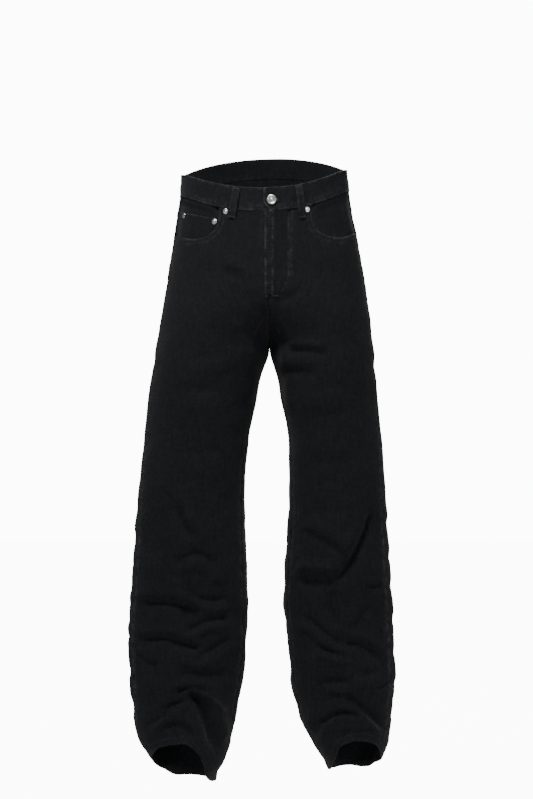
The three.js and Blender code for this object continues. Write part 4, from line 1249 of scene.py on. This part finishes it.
def turned(name, profile, place, out, segments, node):
    x, z = place
    foot, normal = front_points(np.array([x]), np.array([z]), out, unsewn)
    axis = normal[0]
    along = np.cross((0, 0, 1), axis)
    along /= np.linalg.norm(along)
    up = np.cross(axis, along)
    points = []
    for radius, height in profile:
        for k in range(segments):
            angle = 2 * math.pi * k / segments
            spot = foot[0] + axis * height + radius * (along * math.cos(angle) + up * math.sin(angle))
            points.append(spot * MM)
    faces = []
    for j in range(len(profile) - 1):
        for k in range(segments):
            right = (k + 1) % segments
            a = j * segments + k
            b = j * segments + right
            faces.append((a, b, b + segments, a + segments))
    faces.append(tuple(range(segments))[::-1])
    faces.append(tuple((len(profile) - 1) * segments + k for k in range(segments)))
    mesh = bpy.data.meshes.new(name)
    mesh.from_pydata([tuple(q) for q in points], [], faces)
    mesh.polygons.foreach_set("use_smooth", np.ones(len(faces), dtype=bool))
    mesh.materials.append(metal_paint)
    made = bpy.data.objects.new(name, mesh)
    bpy.context.collection.objects.link(made)
    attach(made, "root")
    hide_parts(node)


# Radius and height of each ring of the button's head, then of the rivets' studs
HEAD = (
    (2.6, 0), (2.6, 2.7), (7.6, 2.7), (8.2, 2.9), (8.5, 3.3), (8.5, 3.8), (8.25, 4.5), (7.8, 4.95),
    (7.2, 5.2), (6.6, 5.15), (6.1, 4.8), (5.8, 4.45), (5.2, 4.3), (4.0, 4.2), (2.6, 4.25), (2.2, 4.4),
    (1.9, 4.7), (1.3, 4.85), (0.6, 4.9), (0.02, 4.9),
)
turned("button_metal", HEAD, BUTTON_PLACE, -0.05, 64, "waist_button")
STUD = (
    (4.8, 0), (4.8, 0.35), (4.65, 0.7), (4.3, 0.98), (3.8, 1.15), (3.2, 1.12), (2.7, 0.98), (2.3, 0.95),
    (1.9, 1.15), (1.5, 1.5), (1.0, 1.68), (0.5, 1.74), (0.02, 1.75),
)
# x, z and height above the cloth
RIVETS = {
    "rivet_pocket_right": (-72.9, -52.1, 0.5),
    "rivet_pocket_left": (67.2, -48.7, 0.5),
    "rivet_coin_outer": (-148.8, -54, -1.5),
    "rivet_coin_inner": (-93, -69, -1.2),
}
for name, (x, z, out) in RIVETS.items():
    turned(f"{name}_metal", STUD, (x, z), out, 32, name)

# Stitching
# Black topstitching. Each run is a line of points on the cloth with the direction of its stitches. A
# node tree sets one short thread on each point, and bars are close rows of cross stitches.
STITCH_PITCH = 3.1
STITCH_LIFT = 0.12
BAR_PITCH = 0.42
STITCH_SIZE = {"Length": 0.00235, "Width": 0.00062, "Height": 0.00042}
THREAD = (0.026, 0.0265, 0.028)
thread_paint, strands = new_paint("black_thread")
dyed = noise(strands, strands.add("ShaderNodeTexCoord").outputs["Object"], 60.0)
dark_thread = tuple(c * 0.7 for c in THREAD)
light_thread = tuple(c * 1.3 for c in THREAD)
strands.fill(strands.named("Principled BSDF"), {
    "Base Color": colour_between(strands, dyed, dark_thread, light_thread),
    "Roughness": 0.8,
    "Specular IOR Level": 0.15,
})
stitch_runs = {"waist": [], "pockets": [], "legs": []}


def sew(group, points, normals, pitch=STITCH_PITCH):
    """Adds stitches along a line of points."""
    step = np.linalg.norm(np.diff(points, axis=0), axis=1)
    at = np.concatenate([[0], np.cumsum(step)])
    if at[-1] < pitch:
        return
    where = np.arange(pitch / 2, at[-1], pitch)
    spots = np.stack([np.interp(where, at, points[:, k]) for k in range(3)], -1)
    ahead = np.stack([np.interp(where + 0.6, at, points[:, k]) for k in range(3)], -1)
    behind = np.stack([np.interp(where - 0.6, at, points[:, k]) for k in range(3)], -1)
    up = np.stack([np.interp(where, at, normals[:, k]) for k in range(3)], -1)
    stitch_runs[group].append((spots + up * STITCH_LIFT, ahead - behind, up))


def bar(group, centre, along, normal, length):
    """Adds a bar of close cross stitches."""
    along = along / np.linalg.norm(along)
    cross = np.cross(normal, along)
    cross /= np.linalg.norm(cross)
    count = int(length / BAR_PITCH)
    offset = (np.arange(count) - (count - 1) / 2) * BAR_PITCH
    spots = centre + offset[:, None] * along + normal * 0.25
    slant = cross + np.where(np.arange(count) % 2 == 0, 0.12, -0.12)[:, None] * along
    stitch_runs[group].append((spots, slant, np.repeat(normal[None], count, axis=0)))


band_line = np.linspace(band_start + 3 / DEGREE, band_end - 3 / DEGREE, 900)
for depth in (3.0, BAND_HEIGHT - 3.0):
    p, n = round_waist(band_line, depth, band_face(band_line) - 0.05)
    seen_run = band_line < 360 + around_at(TAB_END_X, -12)
    sew("waist", p[seen_run], n[seen_run])
tab_rows = np.linspace(3, BAND_HEIGHT - 3, 40)
p, n = round_waist(band_start + 3 / DEGREE, tab_rows, band_face(band_start) - 0.05)
sew("waist", p, n)
slot = np.linspace(0, 2 * math.pi, 73)[:-1]
slot_x = BUTTONHOLE["x"] + np.clip(np.cos(slot) * 2.2, -1, 1) * BUTTONHOLE["reach"] + 0.8 * np.cos(slot)
slot_z = BUTTON_PLACE[1] + 2.1 * np.sin(slot)
slot_p, slot_n = front_points(slot_x, slot_z, BAND_OUT + LAP_STEP + 0.25, unsewn)
slit_x = np.clip(slot_x, BUTTONHOLE["x"] - BUTTONHOLE["reach"], BUTTONHOLE["x"] + BUTTONHOLE["reach"])
centre_p, _n = front_points(slit_x, np.full(72, BUTTON_PLACE[1]), BAND_OUT + LAP_STEP + 0.25, unsewn)
stitch_runs["waist"].append((slot_p, slot_p - centre_p, slot_n))
for name in LOOPS:
    length = BAND_HEIGHT + LOOPS[name][1]
    down = np.linspace(0.02, 0.98, 60)
    for edge_x in (-3.6, 3.6):
        p, n = loop_points(name, edge_x + 0 * down, down, LOOP_WALL - 0.1)
        sew("waist", p, n, 2.7)
    for spot in (3.0 / length, 1 - 3.0 / length):
        p, n = loop_points(name, np.array([-1.0, 0.0, 1.0]), np.full(3, spot), LOOP_WALL - 0.1)
        bar("waist", p[1], p[2] - p[0], n[1], 9.6)

fly_z = np.linspace(-44, -196, 160)
for x in (FLY_EDGE_X + 3.3, 6.8):
    p, n = front_points(x + 0 * fly_z, fly_z, 1.3)
    sew("pockets", p, n)
for inset in (0.6, 4.7):
    foot_z = mix(FLY_TURN_Z, FLY_BOTTOM_Z + inset, fall_of)
    line_z = np.concatenate([np.linspace(-42, FLY_TURN_Z, 90), foot_z])
    p, n = front_points(j_line(line_z, inset), line_z, 0.25)
    sew("pockets", p, n)
cross_x = np.linspace(-1, 34, 40)
p, n = front_points(cross_x, np.full(40, -175.0), 1.35)
sew("pockets", p, n)
for x, z, direction in ((14, -198, (1, 0)), (-3, -196, (0, 1)), (36, -160, (0, 1))):
    ends_x = np.array([x - direction[0], x, x + direction[0]], float)
    ends_z = np.array([z - direction[1], z, z + direction[1]], float)
    p, n = front_points(ends_x, ends_z, 0.9)
    bar("pockets", p[1], p[2] - p[0], n[1], 9)

for side in (-1, 1):
    line = scoop_lines[side]
    tangent = np.gradient(line, axis=0)
    tangent /= np.linalg.norm(tangent, axis=1, keepdims=True)
    inward = np.stack([tangent[:, 1], -tangent[:, 0]], -1) * side
    for inset in (2.2, 8.6):
        moved = line + inward * inset
        level = moved[:, 1]
        turn = turn_at(side, moved[:, 0], level, 1)
        shown = (level < waist_seam(side, turn) - 4) & (turn > side_seams[side](level) + 2)
        shown &= side * moved[:, 0] < 0.985 * outer_x[side](level)
        p, n = raised(side, turn, level, 0.35)
        sew("pockets", p[shown], n[shown])
    turn = turn_at(side, np.array([side * 152.0]), np.array([-88.0]), 1)
    p, n = raised(side, turn, np.array([-88.0]), 0.7)
    bar("pockets", p[0], np.array([0, 0.3, 1.0]), n[0], 9)

coin_line = np.linspace(0.02, 0.98, 80)
for inset in (2.2, 9.0):
    a, b = (np.array(c) for c in coin_corner[:2])
    down = np.array([-(b - a)[1], (b - a)[0]])
    down = down / np.linalg.norm(down)
    down = down if down[1] < 0 else -down
    line = a + (b - a) * coin_line[:, None] + down * inset
    p, n = on_right_front(line[:, 0], line[:, 1], -1.3)
    sew("pockets", p, n)


def inset_outline(corners, inset):
    """Points of an outline of straight edges moved inwards, one for each corner."""
    c = np.array(corners, float)
    middle = c.mean(axis=0)
    made = []
    for k in range(len(c)):
        before = c[k] - c[k - 1]
        after = c[(k + 1) % len(c)] - c[k]
        normals = []
        for d in (before, after):
            n = np.array([-d[1], d[0]]) / np.linalg.norm(d)
            normals.append(n if n @ (middle - c[k]) > 0 else -n)
        split = normals[0] + normals[1]
        made.append(c[k] + split * inset / (1 + normals[0] @ normals[1]))
    return np.array(made)


for side in (-1, 1):
    for inset in (2.0, 8.0):
        ring = inset_outline(BACK_POCKET, inset)
        ring[:2, 1] += inset
        for k in range(1, 5):
            a = ring[k]
            b = ring[(k + 1) % 5]
            line = a + (b - a) * np.linspace(0, 1, 80)[:, None]
            p, n = on_back(side, line[:, 0], line[:, 1], 1.7)
            sew("pockets", p, n)
    for inset in (2.0, 14.0):
        ring = inset_outline(BACK_POCKET, inset)
        a, b = ring[:2]
        line = a + (b - a) * np.linspace(0, 1, 80)[:, None]
        p, n = on_back(side, line[:, 0], line[:, 1], 2.4 + 1.4 * np.sin(math.pi * np.linspace(0, 1, 80)))
        sew("pockets", p, n)
    for k in (0, 1):
        tack_x = np.full(2, BACK_POCKET[k][0] + (4.0 if k == 0 else -4.0))
        tack_z = BACK_POCKET[k][1] - np.array([3.0, 5.0])
        p, n = on_back(side, tack_x, tack_z, 2.4)
        bar("pockets", p[0], p[1] - p[0], n[0], 8)

for side in (-1, 1):
    turns = np.linspace(-2, -89, 260)
    for above in (2.2, 8.2):
        z = yoke_seam(side, turns) + above
        p, n = raised(side, turns, z, 0.6 * bell(above - 5, 4) + 0.05)
        sew("legs", p, n)
    levels = np.linspace(-52, -1052, 700)
    half, _centre, end = section(side, levels)
    for away in (2.2, 8.4):
        turn = side_seams[side](levels) + np.degrees(away / half)
        shown = levels > hem_line[side](turn) + 2
        opened = levels > (-84 if side < 0 else -78)
        p, n = raised(side, turn - np.where(opened, 2 * np.degrees(away / half), 0), levels, 0.05)
        sew("legs", p[shown], n[shown])
        levels_in = np.linspace(CROTCH_Z - 4, -1046, 540)
        half_in, _centre, _end = section(side, levels_in)
        turn = inseam(levels_in) - np.degrees(away / half_in)
        shown = levels_in > hem_line[side](turn) + 2
        p, n = raised(side, turn, levels_in, 0.05)
        sew("legs", p[shown], n[shown])
    turns = np.linspace(-179, 179, 700)
    z = hem_line[side](turns) + 12
    p, n = raised(side, turns, z, 0.05)
    sew("legs", p, n)

rise_z = CROTCH_Z + 6 + (-204 - CROTCH_Z - 6) * np.linspace(0, 1, 90)
back_z = CROTCH_Z + 6 + (-126 - CROTCH_Z - 6) * np.linspace(0, 1, 150)
for levels, face, lines in ((rise_z, 1, ((-1, 3.0), (1, 3.2))), (back_z, -1, ((1, 2.4), (1, 8.4)))):
    for side, away in lines:
        half, _centre, end = section(side, levels)
        turn = face * (end - np.degrees(away / half))
        p, n = raised(side, turn, levels, 0.05)
        sew("legs", p, n)


def stitch_tree(group):
    """A node tree that sets a thread on each point, long along "along" and flat to "up"."""
    tree = bpy.data.node_groups.new(f"{group}_stitching", "GeometryNodeTree")
    nodes = Nodes(tree)
    face = tree.interface
    face.new_socket("Geometry", in_out="INPUT", socket_type="NodeSocketGeometry")
    face.new_socket("Geometry", in_out="OUTPUT", socket_type="NodeSocketGeometry")
    kinds = {label: "NodeSocketFloat" for label in STITCH_SIZE}
    kinds |= {"Seed": "NodeSocketInt", "Thread": "NodeSocketMaterial"}
    sockets = {}
    for label, kind in kinds.items():
        sockets[label] = face.new_socket(label, in_out="INPUT", socket_type=kind).identifier
    start = nodes.add("NodeGroupInput").outputs
    ball = nodes.add("GeometryNodeMeshUVSphere", {"Segments": 6, "Rings": 4, "Radius": 0.5})
    smooth = nodes.add("GeometryNodeSetShadeSmooth", {"Geometry": ball.outputs["Mesh"]})
    along = nodes.add("GeometryNodeInputNamedAttribute", {"Name": "along"}, data_type="FLOAT_VECTOR")
    up = nodes.add("GeometryNodeInputNamedAttribute", {"Name": "up"}, data_type="FLOAT_VECTOR")
    axes = {"Primary Axis": along.outputs["Attribute"], "Secondary Axis": up.outputs["Attribute"]}
    turn = nodes.add("FunctionNodeAxesToRotation", axes, primary_axis="X", secondary_axis="Z")
    spread = {2: 0.88, 3: 1.12, "Seed": start["Seed"]}
    chance = nodes.add("FunctionNodeRandomValue", spread, data_type="FLOAT")
    length = Value(nodes, start["Length"]) * chance.outputs[1]
    size = nodes.add("ShaderNodeCombineXYZ", {"X": length, "Y": start["Width"], "Z": start["Height"]})
    copies = nodes.add("GeometryNodeInstanceOnPoints", {
        "Points": start["Geometry"],
        "Instance": smooth.outputs["Geometry"],
        "Rotation": turn.outputs["Rotation"],
        "Scale": size.outputs["Vector"],
    })
    real = nodes.add("GeometryNodeRealizeInstances", {"Geometry": copies.outputs["Instances"]})
    painted = nodes.add("GeometryNodeSetMaterial", {
        "Geometry": real.outputs["Geometry"],
        "Material": start["Thread"],
    })
    nodes.add("NodeGroupOutput", {"Geometry": painted.outputs["Geometry"]})
    return tree, sockets


FIRST_SEED = 11
for number, (group, runs) in enumerate(stitch_runs.items()):
    spots = np.concatenate([run[0] for run in runs]) * MM
    mesh = bpy.data.meshes.new(f"{group}_stitch_points")
    mesh.from_pydata(spots.tolist(), [], [])
    for label, column in (("along", 1), ("up", 2)):
        vectors = np.concatenate([run[column] for run in runs])
        mesh.attributes.new(label, "FLOAT_VECTOR", "POINT").data.foreach_set("vector", vectors.ravel())
    source = bpy.data.objects.new(f"{group}_stitch_points", mesh)
    bpy.context.collection.objects.link(source)
    tree, sockets = stitch_tree(group)
    modifier = source.modifiers.new("stitches", "NODES")
    modifier.node_group = tree
    for label, value in {**STITCH_SIZE, "Seed": FIRST_SEED + number, "Thread": thread_paint}.items():
        modifier[sockets[label]] = value
    evaluated = source.evaluated_get(bpy.context.evaluated_depsgraph_get())
    plain_mesh = bpy.data.meshes.new_from_object(evaluated)
    bpy.data.objects.remove(source)
    stitches = bpy.data.objects.new(f"{group}_stitches", plain_mesh)
    bpy.context.collection.objects.link(stitches)
    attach(stitches, "root")
